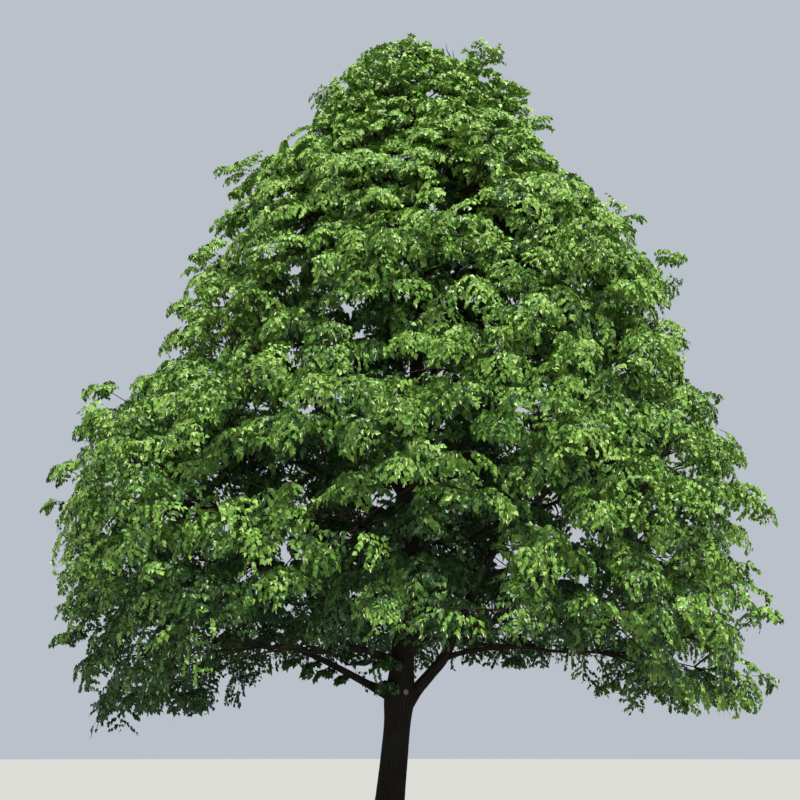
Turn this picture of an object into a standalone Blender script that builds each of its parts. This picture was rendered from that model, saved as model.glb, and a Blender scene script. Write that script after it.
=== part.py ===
"""A small-leaved lime that stands alone in a field, 13.5 m tall, as separate closed solids.

The trunk runs from a flat cut at ground level up through the crown. Each bough is one tapering
limb that leaves the trunk, or another bough, and ends where it enters its own mass of foliage.
Each mass is a stem, arms and twigs with leaf sprays fused on, and keeps to its own space: the
part of the crown that lies nearer to its heart than to any other mass's heart.

Metres, +Z up. The origin is the middle of the flat cut under the trunk, and the usual view of
the tree looks along +Y. Azimuths run anticlockwise from +X, as seen from above.
"""

import math
import random
from collections import namedtuple

import bmesh
import bpy
import numpy as np
from mathutils import Matrix, Vector
from mathutils.bvhtree import BVHTree

SEED = 23
CLEARANCE = 0.0003  # between two solids that touch on the real tree
UP = Vector((0.0, 0.0, 1.0))

# ---------------------------------------------------------------- driving sizes

# Trunk: it leans towards +X as it rises, and straightens.
LEAN_REACH, LEAN_HEIGHT = 0.68, 5.4
BOLE_RADIUS, BOLE_VANISHES, BOLE_TAPER = 0.24, 13.2, 0.9
FORK_SWELLING, FORK_HEIGHT, FORK_SPREAD = 0.045, 2.3, 0.28
ROOT_FLARE, FLARE_HEIGHT, ROOT_LOBES, LOBE_DEPTH = 0.125, 0.24, 4, 0.45
FIRST_LOBE = 0.6  # radians
TRUNK_TIP, TRUNK_SIDES = 11.9, 14
LOWER_RINGS = (0, 0.06, 0.15, 0.3, 0.5, 0.8, 1.2, 1.7, 2.0, 2.3, 2.6)
TRUNK_RINGS = (*LOWER_RINGS, 3.0, 3.8, 5.0, 6.5, 8.2, 10.0, TRUNK_TIP)

# Crown: height, how far its middle stands towards +X, and half its width, from the skirt up.
CROWN_ROWS = (
    (1.9, 0.55, 4.5),
    (2.6, 0.45, 5.05),
    (3.4, 0.4, 5.25),
    (4.5, 0.3, 5.4),
    (5.5, 0.35, 5.4),
    (6.6, 0.35, 5.05),
    (7.3, 0.5, 4.5),
    (8.0, 0.65, 4.15),
    (9.2, 0.75, 3.8),
    (10.2, 0.6, 3.2),
    (10.9, 0.4, 2.8),
    (11.6, 0.55, 2.2),
    (12.4, 0.65, 1.85),
    (13.0, 0.7, 1.2),
    (13.45, 0.7, 0.1),
)
# The crown's underside is an arch over the fork, and hangs lower past these two sides of it.
ARCH_HEIGHT, SKIRT_HEIGHT = 2.95, 1.95
ARCH_LEFT, ARCH_RIGHT, ARCH_SHOULDER = -2.5, 3.7, 0.5
# Twigs at a height grow away from the trunk's middle at: foot + share of that height.
GROWTH_FOOT, GROWTH_SHARE = 2.0, 0.72

# Dark hollows in the face of the crown: x, height, half width, half height. The far face has
# the same ones, turned half round the trunk.
HOLLOWS = (
    (-2.0, 5.2, 0.6, 0.3),
    (-0.9, 5.2, 0.32, 0.26),
    (0.0, 4.5, 0.8, 0.2),
    (1.25, 3.9, 0.35, 0.6),
    (-0.5, 7.6, 0.7, 0.22),
    (1.1, 8.25, 0.32, 0.22),
    (1.15, 9.9, 0.32, 0.27),
    (-1.4, 8.35, 0.32, 0.23),
    (-2.15, 7.7, 0.36, 0.31),
)
HOLLOW_DEPTH = 1.3

# Sprigs that stand out of the crown's outline: where each tip reaches, as x and height.
SPRIG_TIPS = (
    (0.4, 13.55),
    (1.95, 13.25),
    (-1.2, 12.4),
    (2.75, 12.0),
    (-2.85, 11.15),
    (4.35, 10.35),
    (4.95, 9.15),
    (-3.4, 9.45),
    (-3.75, 7.75),
    (-4.9, 6.85),
    (5.45, 7.1),
    (6.05, 5.55),
    (-5.5, 5.3),
    (-5.2, 3.7),
    (6.25, 3.9),
    (-4.6, 2.1),
    (6.25, 2.5),
)
# More sprigs all round, each this far past the crown's rows, spiralling down it.
ROUND_SPRIGS, ROUND_SPRIG_REACH, GOLDEN_ANGLE = 22, 0.25, 137.5
ROUND_SPRIG_TOP, ROUND_SPRIG_FOOT, SIDE_ON = 12.4, 2.6, 0.45  # SIDE_ON: none is further to the side
SPRIG_LENGTH, SPRIG_SWAY = 0.9, 0.35  # share of a usual blade's length, and how far off y = 0

# Tiers of foliage: name, height of the hearts, how far every other heart is above and below it,
# masses, first azimuth, share of the crown's half width at which the hearts stand, lowest and
# highest bough foot on the trunk, bough radius, and how steeply the boughs rise.
Tier = namedtuple("Tier", "name height stagger masses first share roots radius rise")
TIERS = (
    Tier("skirt", 3.1, 0.15, 6, 350, 0.66, (2.75, 3.2), 0.064, 0.45),
    Tier("low", 4.95, 0.3, 6, 20, 0.68, (3.55, 4.2), 0.066, 0.75),
    Tier("middle", 6.85, 0.35, 5, 8, 0.64, (4.7, 5.4), 0.06, 0.8),
    Tier("upper", 8.75, 0.35, 4, 335, 0.58, (6.4, 7.1), 0.052, 0.85),
    Tier("high", 10.55, 0.3, 3, 15, 0.5, (8.5, 9.1), 0.042, 0.9),
)
TOP_HEART_HEIGHT = 12.3  # straight above the trunk's tip
CELL_FLATTENING = 1.15  # heights count for this much more than widths when space is shared out

# Boughs: an ordinary one goes this share of the way to its heart, and starts inside the trunk.
BOUGH_POINTS, BOUGH_SHARE, BOUGH_ROOT, END_DROP = 6, 0.74, 0.4, 0.45
ROOT_PULL, END_PULL = 0.3, 0.25  # of its reach, along which it leaves the trunk and nears the heart
TIP_RADIUS, COLLAR, COLLAR_LENGTH = 0.028, 0.55, 0.16
BOUGH_RESOLUTION, SEEN_RESOLUTION = 1, 2  # of the bevel: six and eight sides

# The boughs that show under the crown: one to the left, and one to the right that forks. Each has
# its root, the two places that pull its curve, the place that it heads away from as it nears its
# heart, the share of that way which it leaves out, and its root and tip radius.
Seen = namedtuple("Seen", "name mass root first second before short points radii")
SEEN_BOUGHS = (
    Seen(
        "bough_left", "skirt_4", (0.12, 0, 2.3), (-0.9, -0.05, 2.8), (-1.35, -0.2, 3.2),
        (-1, -0.2, 2.95), 0.36, 8, (0.066, TIP_RADIUS),
    ),
    Seen(
        "bough_right", "middle_1", (0.95, -0.05, 2.93), (1.25, -0.06, 3.6), (1.9, 0.05, 5.3),
        (1.6, 0.1, 4.6), 0.3, 6, (0.1, 0.034),
    ),
    Seen(
        "bough_right_fork", "skirt_1", (0.93, -0.045, 2.9), (1.4, -0.12, 3.08), (2.3, -0.3, 3.12),
        (1.4, -0.2, 3.05), 0.34, 7, (0.04, 0.026),
    ),
)
# Where the right bough runs before its own curve starts, from inside the trunk.
RIGHT_BOUGH_FOOT = ((0.3, 0, 2.16), (0.5, -0.02, 2.4), (0.73, -0.04, 2.66))

# Stems and arms
STEM_SIDES, ARM_SIDES = 5, 3
STEM_TIP, ARM_RADIUS, ARM_TIP = 0.024, 0.022, 0.014
FIRST_ARM, ARM_SLOTS = 0.22, 8  # arms leave the stem past this share of it, one from each slot
ARM_ROOT = 0.02  # how far before the stem's end the last arm starts

# Sprays: each arm ends in a fan of blades, and each blade stands for one leafy spray. The blades
# spread at these azimuths about the way that the fan faces, and lean this far forward.
FAN_AZIMUTHS, FAN_LEAN, FAN_DROOP, FAN_ROLL = (90, 234, 18, 162, 306), 28, 0.2, 36
FAN_FEET = (0.02, 0.1, 0.18, 0.26, 0.34)  # how far before the arm's end each blade's foot is
FARTHEST_FOOT = 0.85  # share of the arm's length, on a short arm
LEAST_BLADES = (4, 3, 2)  # an arm grows only if its fan has this many, in the first round and on
FAN_SPACING, SPACING_BY_DEPTH = 0.62, 0.25
SHALLOWEST, DEEPEST, DEPTH_STEP, DARTS = 0.45, 1.6, 0.3, 26000
FINE_WIDTH, FINEST = 3.4, 0.8  # fans are smaller where the crown is narrower than this
BORDER = 0.2  # between a fan and the border of its mass's space
BLADE_LENGTH, BLADE_WIDTH, BLADE_THICKNESS, BLADE_DOME = 1.14, 0.94, 0.034, 0.11
BLADE_WIDEST, SIZE_SPREAD, TIP_DROOP, FACE_LIFT = 0.44, 0.1, 0.6, 0.4
BLADE_SPACING = 0.6  # between the middles of two blades of one mass
# Size and turn, in degrees, that a blade tries in order until it fits its space.
BLADE_TRIES = ((1.0, 0), (0.92, 24), (0.92, -24), (0.78, 0), (0.78, 30), (0.78, -30))
BLADE_FACES = ((0, 3, 4), (3, 2, 4), (2, 1, 4), (1, 0, 4))  # the upper side, by corner
SPACE_MARGIN, LIMB_MARGIN, TWIG_MARGIN, OUTLINE_TOLERANCE = 0.006, 0.06, 0.03, 0.2
SAMPLE_STEP = 0.07

BARK = ("lime_bark", (0.045, 0.036, 0.028), 0.9)
LEAF = ("lime_leaf", (0.12, 0.26, 0.035), 0.5)

Twig = namedtuple("Twig", "start end radius tip_radius sides")
Blade = namedtuple("Blade", "foot along across up size")
Bough = namedtuple("Bough", "name path radii")
Fan = namedtuple("Fan", "site faces roll sizes sprig")


# ---------------------------------------------------------------- the crown's shape


def trunk_middle(height):
    """The middle of the trunk at a height."""
    return Vector((LEAN_REACH * (1 - math.exp(-height / LEAN_HEIGHT)), 0.0, height))


def trunk_radius(height):
    """The trunk's mean radius at a height, with the swelling under the fork but no root flare."""
    taper = BOLE_RADIUS * (1 - height / BOLE_VANISHES) ** BOLE_TAPER
    return taper + FORK_SWELLING * math.exp(-(((height - FORK_HEIGHT) / FORK_SPREAD) ** 2))


def flare(height, azimuth):
    """How far the root flare stands out of the trunk, in lobes that run into the ground."""
    lobes = 1 + LOBE_DEPTH * math.cos(ROOT_LOBES * azimuth + FIRST_LOBE)
    return ROOT_FLARE * math.exp(-height / FLARE_HEIGHT) * lobes


def crown_row(height):
    """(middle x, half width) of the crown at a height, or at each of an array of heights."""
    heights, middles, halves = zip(*CROWN_ROWS)
    return np.interp(height, heights, middles), np.interp(height, heights, halves)


def underside(x):
    """Height of the crown's underside at x: the arch over the fork, and the skirts past it."""
    past = np.maximum(ARCH_LEFT - x, x - ARCH_RIGHT)
    share = np.clip((past + ARCH_SHOULDER) / (2 * ARCH_SHOULDER), 0, 1)
    share = share * share * (3 - 2 * share)
    return ARCH_HEIGHT + (SKIRT_HEIGHT - ARCH_HEIGHT) * share


def depth_in_crown(points):
    """How deep each point lies inside the crown, negative outside it."""
    points = np.asarray(points, float).reshape(-1, 3)
    deepest = np.full(len(points), np.inf)
    for lift in (0.0, 0.5, 1.0):
        middle, half = crown_row(points[:, 2] + lift)
        side = half - np.hypot(points[:, 0] - middle, points[:, 1])
        deepest = np.minimum(deepest, np.hypot(np.maximum(side, 0), lift) * np.sign(side))
    top = CROWN_ROWS[-1][0] - points[:, 2]
    return np.minimum.reduce([deepest, top, points[:, 2] - underside(points[:, 0])])


def in_hollow(points):
    """True for each point inside one of the dark hollows in the crown's near and far faces."""
    points = np.asarray(points, float).reshape(-1, 3)
    inside = np.zeros(len(points), bool)
    for x, height, half_width, half_height in HOLLOWS:
        middle, half = crown_row(height)
        face = math.sqrt(max(half * half - (x - middle) ** 2, 0.0))
        for side in (-1, 1):
            centre = (middle - side * (x - middle), side * face, height)
            offset = (points - centre) / (half_width, HOLLOW_DEPTH, half_height)
            inside |= (offset * offset).sum(axis=1) < 1
    return inside


def outward(point):
    """The way that twigs grow at a point: out from the trunk, and upright at the crown's top."""
    height = GROWTH_FOOT + GROWTH_SHARE * point[2]
    middle = Vector((float(crown_row(height)[0]), 0.0, height))
    return (Vector(point) - middle).normalized()


# ---------------------------------------------------------------- masses and their spaces


def hearts():
    """{mass name: the middle of that mass}, tier by tier, with the top mass last."""
    found = {}
    for tier in TIERS:
        for number in range(tier.masses):
            height = tier.height + (tier.stagger if number % 2 else -tier.stagger)
            middle, half = (float(value) for value in crown_row(height))
            azimuth = math.radians(tier.first + 360 * number / tier.masses)
            offset = Vector((math.cos(azimuth), math.sin(azimuth), 0.0)) * (tier.share * half)
            found[f"{tier.name}_{number + 1}"] = Vector((middle, 0.0, height)) + offset
    found["top"] = Vector((trunk_middle(TRUNK_TIP).x, 0.0, TOP_HEART_HEIGHT))
    return found


def flattened(points):
    """Points with their heights stretched, so that plain distances between them share out space."""
    return np.asarray(points, float).reshape(-1, 3) * (1, 1, CELL_FLATTENING)


def keeps_to(points, own, all_hearts, margin=SPACE_MARGIN):
    """True if every point lies in the space of its own heart, at least the margin inside it."""
    points, middles = flattened(points), flattened(all_hearts)
    ways = np.delete(middles, own, axis=0) - middles[own]
    lengths = np.linalg.norm(ways, axis=1)
    past = (points - middles[own]) @ (ways / lengths[:, None]).T - lengths / 2
    return bool((past < -margin).all())


def nearest_heart(point, all_hearts):
    """The number of the heart whose space holds the point."""
    away = flattened(all_hearts) - flattened(point)
    return int(np.argmin((away * away).sum(axis=1)))


# ---------------------------------------------------------------- boughs


def curve_through(start, first_pull, second_pull, end, count):
    """Points along the cubic curve from start to end that the two pulls shape."""
    points = []
    for step in range(count):
        t = step / (count - 1)
        s = 1 - t
        points.append(start * s**3 + first_pull * 3 * s * s * t + second_pull * 3 * s * t * t + end * t**3)
    return points


def aimed(points, heart):
    """The points, with the last stretch turned to the heart, so that a stem carries straight on."""
    stretch = (points[-1] - points[-2]).length
    before_end = points[-1] - (heart - points[-1]).normalized() * stretch
    return points[:-2] + [before_end, points[-1]]


def bough_radii(points, root_radius, tip_radius):
    """A limb's radius at each point: an even taper, with a collar where it leaves the trunk."""
    along = [0.0]
    for here, following in zip(points, points[1:]):
        along.append(along[-1] + (following - here).length)
    radii = []
    for distance in along:
        share = distance / along[-1]
        taper = root_radius + (tip_radius - root_radius) * share
        radii.append(taper * (1 + COLLAR * math.exp(-distance / COLLAR_LENGTH)))
    return radii


def ordinary_bough(name, tier, number, heart):
    """A bough that leaves the trunk below its mass and levels out towards it."""
    low, high = tier.roots
    order = (number * 3) % tier.masses
    root_height = low + (high - low) * order / max(tier.masses - 1, 1)
    start = trunk_middle(root_height)
    way = Vector((heart.x - start.x, heart.y - start.y, 0.0))
    reach = way.length
    way.normalize()
    start = start + way * (BOUGH_ROOT * trunk_radius(root_height))
    end = start.lerp(heart, BOUGH_SHARE)
    end.z = heart.z - (1 - BOUGH_SHARE) * END_DROP * (heart.z - start.z)
    first = start + (way + UP * tier.rise) * (ROOT_PULL * reach)
    second = end - (heart - end).normalized() * (END_PULL * reach)
    points = aimed(curve_through(start, first, second, end, BOUGH_POINTS), heart)
    return Bough(name, points, bough_radii(points, tier.radius, TIP_RADIUS))


def seen_bough(seen, heart):
    """A bough that shows under the crown, along its own curve."""
    root, first, second, before = (
        Vector(place) for place in (seen.root, seen.first, seen.second, seen.before)
    )
    points = curve_through(root, first, second, heart.lerp(before, seen.short), seen.points)
    if seen.name == "bough_right":
        points = [Vector(place) for place in RIGHT_BOUGH_FOOT] + points
    points = aimed(points, heart)
    return Bough(seen.name, points, bough_radii(points, *seen.radii))


def boughs(all_hearts):
    """{mass name: the bough that carries it}, for every mass but the top one."""
    found = {seen.mass: seen_bough(seen, all_hearts[seen.mass]) for seen in SEEN_BOUGHS}
    for tier in TIERS:
        for number in range(tier.masses):
            mass = f"{tier.name}_{number + 1}"
            if mass not in found:
                found[mass] = ordinary_bough(f"bough_{mass}", tier, number, all_hearts[mass])
    return found


# ---------------------------------------------------------------- clearance from the limbs


def crosswise(way):
    """Two directions at right angles to a way and to each other."""
    first = way.cross(UP if abs(way.normalized().z) < 0.9 else Vector((1.0, 0.0, 0.0))).normalized()
    return first, way.cross(first).normalized()


class Limbs:
    """The trunk and boughs as rows of tapering segments, to measure distances from."""

    def __init__(self, all_boughs):
        starts, ends, radii = [], [], []
        trunk = [trunk_middle(height) for height in TRUNK_RINGS]
        rows = [(trunk, [trunk_radius(height) for height in TRUNK_RINGS])]
        rows += [(bough.path, bough.radii) for bough in all_boughs.values()]
        for path, widths in rows:
            starts += path[:-1]
            ends += path[1:]
            radii += widths[:-1]
        self.starts, self.ends, self.radii = (np.array(row, float) for row in (starts, ends, radii))
        corners, strips = [], []
        for start, end, radius in zip(starts, ends, radii):
            for across in crosswise(end - start):
                reach = across * (radius + LIMB_MARGIN)
                strips.append(range(len(corners), len(corners) + 4))
                corners += [start + reach, end + reach, end - reach, start - reach]
        self.strips = BVHTree.FromPolygons(corners, strips)

    def clear_of(self, points, margin):
        """True if every point stands off every limb's surface by the margin."""
        points = np.asarray(points, float).reshape(-1, 1, 3)
        ways = self.ends - self.starts
        share = ((points - self.starts) * ways).sum(axis=2) / (ways * ways).sum(axis=1)
        nearest = self.starts + np.clip(share, 0, 1)[:, :, None] * ways
        gaps = np.linalg.norm(points - nearest, axis=2) - self.radii
        return bool((gaps > margin).all())


def along_line(start, end):
    """Points along a straight line, no further apart than the sampling step."""
    count = int((end - start).length / SAMPLE_STEP) + 2
    return [start.lerp(end, number / (count - 1)) for number in range(count)]


# ---------------------------------------------------------------- sprays


def sprig_fan(tip, rng):
    """A fan whose first blade reaches the tip of a sprig that stands out of the crown."""
    faces = outward(tip)
    reach = SPRIG_LENGTH * BLADE_LENGTH * fineness(tip.z)
    return Fan(tip - faces * reach, faces, 0.0, spray_sizes(rng, tip.z), tip)


def fineness(height):
    """How large fans are at a height, against the usual ones: smaller in the crown's narrow top."""
    return float(np.clip(crown_row(height)[1] / FINE_WIDTH, FINEST, 1.0))


def spray_sizes(rng, height):
    """How large each blade of a fan at a height is, against the usual one."""
    return [fineness(height) * (1 + rng.uniform(-SIZE_SPREAD, SIZE_SPREAD)) for _ in FAN_AZIMUTHS]


def sprig_fans(rng):
    """The fans of the sprigs that reach out of the crown's outline."""
    tips = [
        Vector((x, SPRIG_SWAY * math.sin(GOLDEN_ANGLE * number), height))
        for number, (x, height) in enumerate(SPRIG_TIPS)
    ]
    for number in range(ROUND_SPRIGS):
        share = math.sqrt((number + 0.5) / ROUND_SPRIGS)
        height = ROUND_SPRIG_TOP + (ROUND_SPRIG_FOOT - ROUND_SPRIG_TOP) * share
        azimuth = math.radians(GOLDEN_ANGLE * number)
        if abs(math.sin(azimuth)) < SIDE_ON:
            continue
        middle, half = (float(value) for value in crown_row(height))
        reach = half + ROUND_SPRIG_REACH
        tips.append(Vector((middle + reach * math.cos(azimuth), reach * math.sin(azimuth), height)))
    return [sprig_fan(tip, rng) for tip in tips]


def all_fans(rng, all_hearts):
    """Fans spread over the crown's leafy shell, each with room in the space of one mass.

    Darts are thrown at the crown and taken layer by layer from outside, and one sticks where it is
    not too near another. Fans stand further apart the deeper they are, and none is in a hollow.
    """
    fans = sprig_fans(rng)
    taken = [tuple(fan.site) for fan in fans]
    widest = max(half for _, _, half in CROWN_ROWS)
    low, high = CROWN_ROWS[0][0], CROWN_ROWS[-1][0]
    darts = [
        (rng.uniform(-widest, widest) + 0.4, rng.uniform(-widest, widest), rng.uniform(low, high))
        for _ in range(DARTS)
    ]
    landed = list(zip(darts, depth_in_crown(darts), in_hollow(darts)))
    landed.sort(key=lambda landing: round(landing[1] / DEPTH_STEP))
    for dart, depth, hollow in landed:
        fine = fineness(dart[2])
        if not SHALLOWEST * fine < depth < DEEPEST or hollow:
            continue
        spacing = fine * (FAN_SPACING + SPACING_BY_DEPTH * (depth - SHALLOWEST))
        offsets = np.array(taken) - dart
        if (offsets * offsets).sum(axis=1).min() < spacing * spacing:
            continue
        if not keeps_to(dart, nearest_heart(dart, all_hearts), all_hearts, BORDER * fine):
            continue
        taken.append(dart)
        roll = rng.uniform(-FAN_ROLL, FAN_ROLL)
        fans.append(Fan(Vector(dart), outward(dart), roll, spray_sizes(rng, dart[2]), None))
    return fans


def blade_from(foot, along, faces, size):
    """A blade that grows from its foot, with its upper side turned the way that its fan faces."""
    along = along.normalized()
    across = (faces + UP * FACE_LIFT).cross(along).normalized()
    return Blade(foot, along, across, along.cross(across), size)


def blade_corners(blade):
    """The corners of a blade: foot, two sides and tip, then the middle of its top and underside."""
    long, wide = BLADE_LENGTH * blade.size, BLADE_WIDTH * blade.size
    dome, thick = BLADE_DOME * blade.size, BLADE_THICKNESS * blade.size
    middle = blade.foot + blade.along * (BLADE_WIDEST * long) + blade.up * dome
    left, right = (
        blade.foot + blade.along * (BLADE_WIDEST * long) + blade.across * (side * wide / 2)
        for side in (1, -1)
    )
    tip = blade.foot + blade.along * long - blade.up * (TIP_DROOP * dome)
    return [blade.foot, left, tip, right, middle + blade.up * (thick / 2), middle - blade.up * (thick / 2)]


def blade_samples(blade):
    """Points over a blade past its foot, for measuring its distance from the limbs."""
    foot, left, tip, right, top, _ = blade_corners(blade)
    rim = [foot.lerp(left, 0.5), left, left.lerp(tip, 0.5), tip, tip.lerp(right, 0.5), right]
    rim.append(right.lerp(foot, 0.5))
    return rim + [point.lerp(top, 0.5) for point in rim] + [top]


def blade_tree(blade):
    """The upper side of a blade past its foot, ready to be tested against another's."""
    corners = blade_corners(blade)
    corners[0] = corners[0].lerp(corners[4], 0.12)
    return BVHTree.FromPolygons(corners, BLADE_FACES)


def twig_tree(start, end):
    """A strip along a twig, ready to be tested against the blades."""
    across = UP * ARM_RADIUS
    corners = [start + across, end + across, end - across, start - across]
    return BVHTree.FromPolygons(corners, [(0, 1, 2, 3)])


# ---------------------------------------------------------------- the rule that a mass grows by


def fan_blades(fan, arm_start, room):
    """The blades of a fan at the end of its arm: those that fit, each as large as it can be."""
    length = (fan.site - arm_start).length
    arm = (fan.site - arm_start).normalized()
    side = UP.cross(fan.faces)
    if side.length < 0.05:
        side = Vector((1.0, 0.0, 0.0))
    side.normalize()
    over = fan.faces.cross(side)
    lean = math.radians(FAN_LEAN)
    blades = []
    for azimuth, back, size in zip(FAN_AZIMUTHS, FAN_FEET, fan.sizes):
        foot = fan.site - arm * min(back, FARTHEST_FOOT * length)
        for share, turn in BLADE_TRIES:
            angle = math.radians(azimuth + fan.roll + turn)
            spread = side * math.cos(angle) + over * math.sin(angle)
            along = spread * math.cos(lean) + fan.faces * math.sin(lean) - UP * FAN_DROOP
            if fan.sprig is not None and not blades:
                along = fan.sprig - foot
                size = along.length / BLADE_LENGTH
            blade = blade_from(foot, along, fan.faces, size * share)
            if room.blade_fits(blade, fan.sprig is not None):
                room.take(blade)
                blades.append(blade)
                break
    return blades


class Room:
    """The room that one mass has: its space, less the limbs and what it has grown already."""

    def __init__(self, own, all_hearts, limbs):
        self.own, self.all_hearts, self.limbs = own, all_hearts, limbs
        self.in_the_way, self.middles = [], []

    def blade_fits(self, blade, sprig):
        """True if a blade keeps to the mass's space and clear of the limbs and what has grown."""
        corners = blade_corners(blade)
        near = BLADE_SPACING * blade.size
        if any((corners[4] - middle).length < near for middle in self.middles):
            return False
        if in_hollow(corners[1:5]).any() or not keeps_to(corners, self.own, self.all_hearts):
            return False
        if not sprig and depth_in_crown(corners).min() < -OUTLINE_TOLERANCE:
            return False
        upper_side = blade_tree(blade)
        if self.limbs.strips.overlap(upper_side) or self.blocked(upper_side):
            return False
        return self.limbs.clear_of(blade_samples(blade), LIMB_MARGIN)

    def arm_fits(self, start, end):
        """True if an arm keeps to the mass's space and clear of the limbs and what has grown."""
        arm = along_line(start, end)
        if not self.limbs.clear_of(arm[2:], TWIG_MARGIN) or not keeps_to(arm, self.own, self.all_hearts):
            return False
        return not self.blocked(twig_tree(start.lerp(end, 0.2), end))

    def blocked(self, tree):
        """True if a shape runs into something that the mass has grown."""
        return any(tree.overlap(other) for other in self.in_the_way)

    def take(self, blade):
        """Notes that a blade has grown."""
        self.in_the_way.append(blade_tree(blade))
        self.middles.append(blade_corners(blade)[4])

    def give_back(self, blades):
        """Notes that the last few blades have not grown after all."""
        for _ in blades:
            self.in_the_way.pop()
            self.middles.pop()


def grow_mass(foot, foot_radius, heart, fans, room):
    """(twigs, blades) of one mass: a stem to its heart, and arms that leave it for each fan.

    A twig or blade that would leave the mass's space, or come near a limb or another blade, is
    left out, and so is a fan with too few blades to need an arm.
    """
    way = (heart - foot).normalized()
    length = (heart - foot).length
    twigs = [Twig(foot, heart, foot_radius, STEM_TIP, STEM_SIDES)]
    room.in_the_way.append(twig_tree(foot, heart))
    blades, waiting = [], list(fans)
    slots = [FIRST_ARM + (1 - FIRST_ARM) * number / (ARM_SLOTS - 1) for number in range(ARM_SLOTS)]
    for least in LEAST_BLADES:
        later = []
        for fan in waiting:
            wanted = forwardness(fan.site - foot, way) / length
            slot = min(slots, key=lambda share: abs(share - wanted), default=None)
            if slot is None:
                return twigs, blades
            start = foot.lerp(heart, slot) - way * ARM_ROOT
            if not room.arm_fits(start, fan.site):
                later.append(fan)
                continue
            grown = fan_blades(fan, start, room)
            if len(grown) < least and fan.sprig is None:
                room.give_back(grown)
                later.append(fan)
                continue
            if grown:
                slots.remove(slot)
                twigs.append(Twig(start, fan.site, ARM_RADIUS, ARM_TIP, ARM_SIDES))
                room.in_the_way.append(twig_tree(start.lerp(fan.site, 0.2), fan.site))
                blades += grown
        waiting = later
    return twigs, blades


def forwardness(offset, way):
    """How far along a way an offset reaches, less for one that lies to the side."""
    return offset.dot(way) - 0.5 * offset.cross(way).length


# ---------------------------------------------------------------- Blender objects


def material(name, colour, roughness):
    """A plain Principled material."""
    made = bpy.data.materials.new(name)
    made.use_nodes = True
    shader = made.node_tree.nodes["Principled BSDF"]
    shader.inputs["Base Color"].default_value = (*colour, 1.0)
    shader.inputs["Roughness"].default_value = roughness
    shader.inputs["Metallic"].default_value = 0.0
    return made


def object_from(name, mesh, collection, finish=None):
    """An object that holds the mesh, in the collection."""
    made = bpy.data.objects.new(name, mesh)
    collection.objects.link(made)
    if finish is not None:
        mesh.materials.append(finish)
    return made


def trunk_mesh(name, grown=0.0):
    """The trunk as a loft of rings, from the flat cut at the ground to its tip.

    The lobed foot and the round stem are unlike sections, so the rings are joined here.
    """
    shape = bmesh.new()
    rings = []
    for height in TRUNK_RINGS:
        middle = trunk_middle(height)
        ring = []
        for side in range(TRUNK_SIDES):
            azimuth = 2 * math.pi * side / TRUNK_SIDES
            radius = trunk_radius(height) + flare(height, azimuth) + grown
            offset = Vector((math.cos(azimuth), math.sin(azimuth), 0.0)) * radius
            ring.append(shape.verts.new(middle + offset))
        rings.append(ring)
    for below, above in zip(rings, rings[1:]):
        for side in range(TRUNK_SIDES):
            following = (side + 1) % TRUNK_SIDES
            shape.faces.new((below[side], below[following], above[following], above[side]))
    shape.faces.new(rings[0][::-1])
    shape.faces.new(rings[-1])
    bmesh.ops.triangulate(shape, faces=shape.faces)
    mesh = bpy.data.meshes.new(name)
    shape.to_mesh(mesh)
    shape.free()
    mesh.shade_smooth()
    mesh.set_sharp_from_angle(angle=math.radians(50))
    return mesh


def limb_mesh(name, bough, resolution, grown=0.0):
    """A tapering limb: a bevelled curve made a mesh, with its caps welded on."""
    curve = bpy.data.curves.new(name, "CURVE")
    curve.dimensions = "3D"
    curve.bevel_depth = 1.0
    curve.bevel_resolution = resolution
    curve.use_fill_caps = True
    spline = curve.splines.new("POLY")
    spline.points.add(len(bough.path) - 1)
    for point, place, radius in zip(spline.points, bough.path, bough.radii):
        point.co = (*place, 1.0)
        point.radius = radius + grown
    helper = bpy.data.objects.new(name, curve)
    bpy.context.scene.collection.objects.link(helper)
    mesh = bpy.data.meshes.new_from_object(helper.evaluated_get(bpy.context.evaluated_depsgraph_get()))
    bpy.data.objects.remove(helper)
    bpy.data.curves.remove(curve)
    shape = bmesh.new()
    shape.from_mesh(mesh)
    bmesh.ops.remove_doubles(shape, verts=shape.verts, dist=1e-5)
    bmesh.ops.triangulate(shape, faces=shape.faces)
    shape.to_mesh(mesh)
    shape.free()
    mesh.name = name
    mesh.shade_smooth()
    mesh.set_sharp_from_angle(angle=math.radians(50))
    return mesh


def twig_mesh(name, twig):
    """A straight tapering twig, from a cone primitive laid along it."""
    shape = bmesh.new()
    way = twig.end - twig.start
    turned = way.to_track_quat("Z", "Y").to_matrix().to_4x4()
    bmesh.ops.create_cone(
        shape,
        cap_ends=True,
        cap_tris=False,
        segments=twig.sides,
        radius1=twig.radius,
        radius2=twig.tip_radius,
        depth=way.length,
        matrix=Matrix.Translation(twig.start.lerp(twig.end, 0.5)) @ turned,
    )
    mesh = bpy.data.meshes.new(name)
    shape.to_mesh(mesh)
    shape.free()
    return mesh


def blade_mesh(name, blade):
    """A thin domed blade of eight faces, from a sphere primitive of six corners moved to its own."""
    foot, left, tip, right, top, under = blade_corners(blade)
    shape = bmesh.new()
    bmesh.ops.create_uvsphere(shape, u_segments=4, v_segments=2, radius=1.0)
    places = {(-1, 0): foot, (0, 1): left, (1, 0): tip, (0, -1): right}
    for corner in shape.verts:
        x, y, z = (round(value) for value in corner.co)
        if z:
            corner.co = top if z > 0 else under
        else:
            corner.co = places[x, y]
    mesh = bpy.data.meshes.new(name)
    shape.to_mesh(mesh)
    shape.free()
    return mesh


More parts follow.
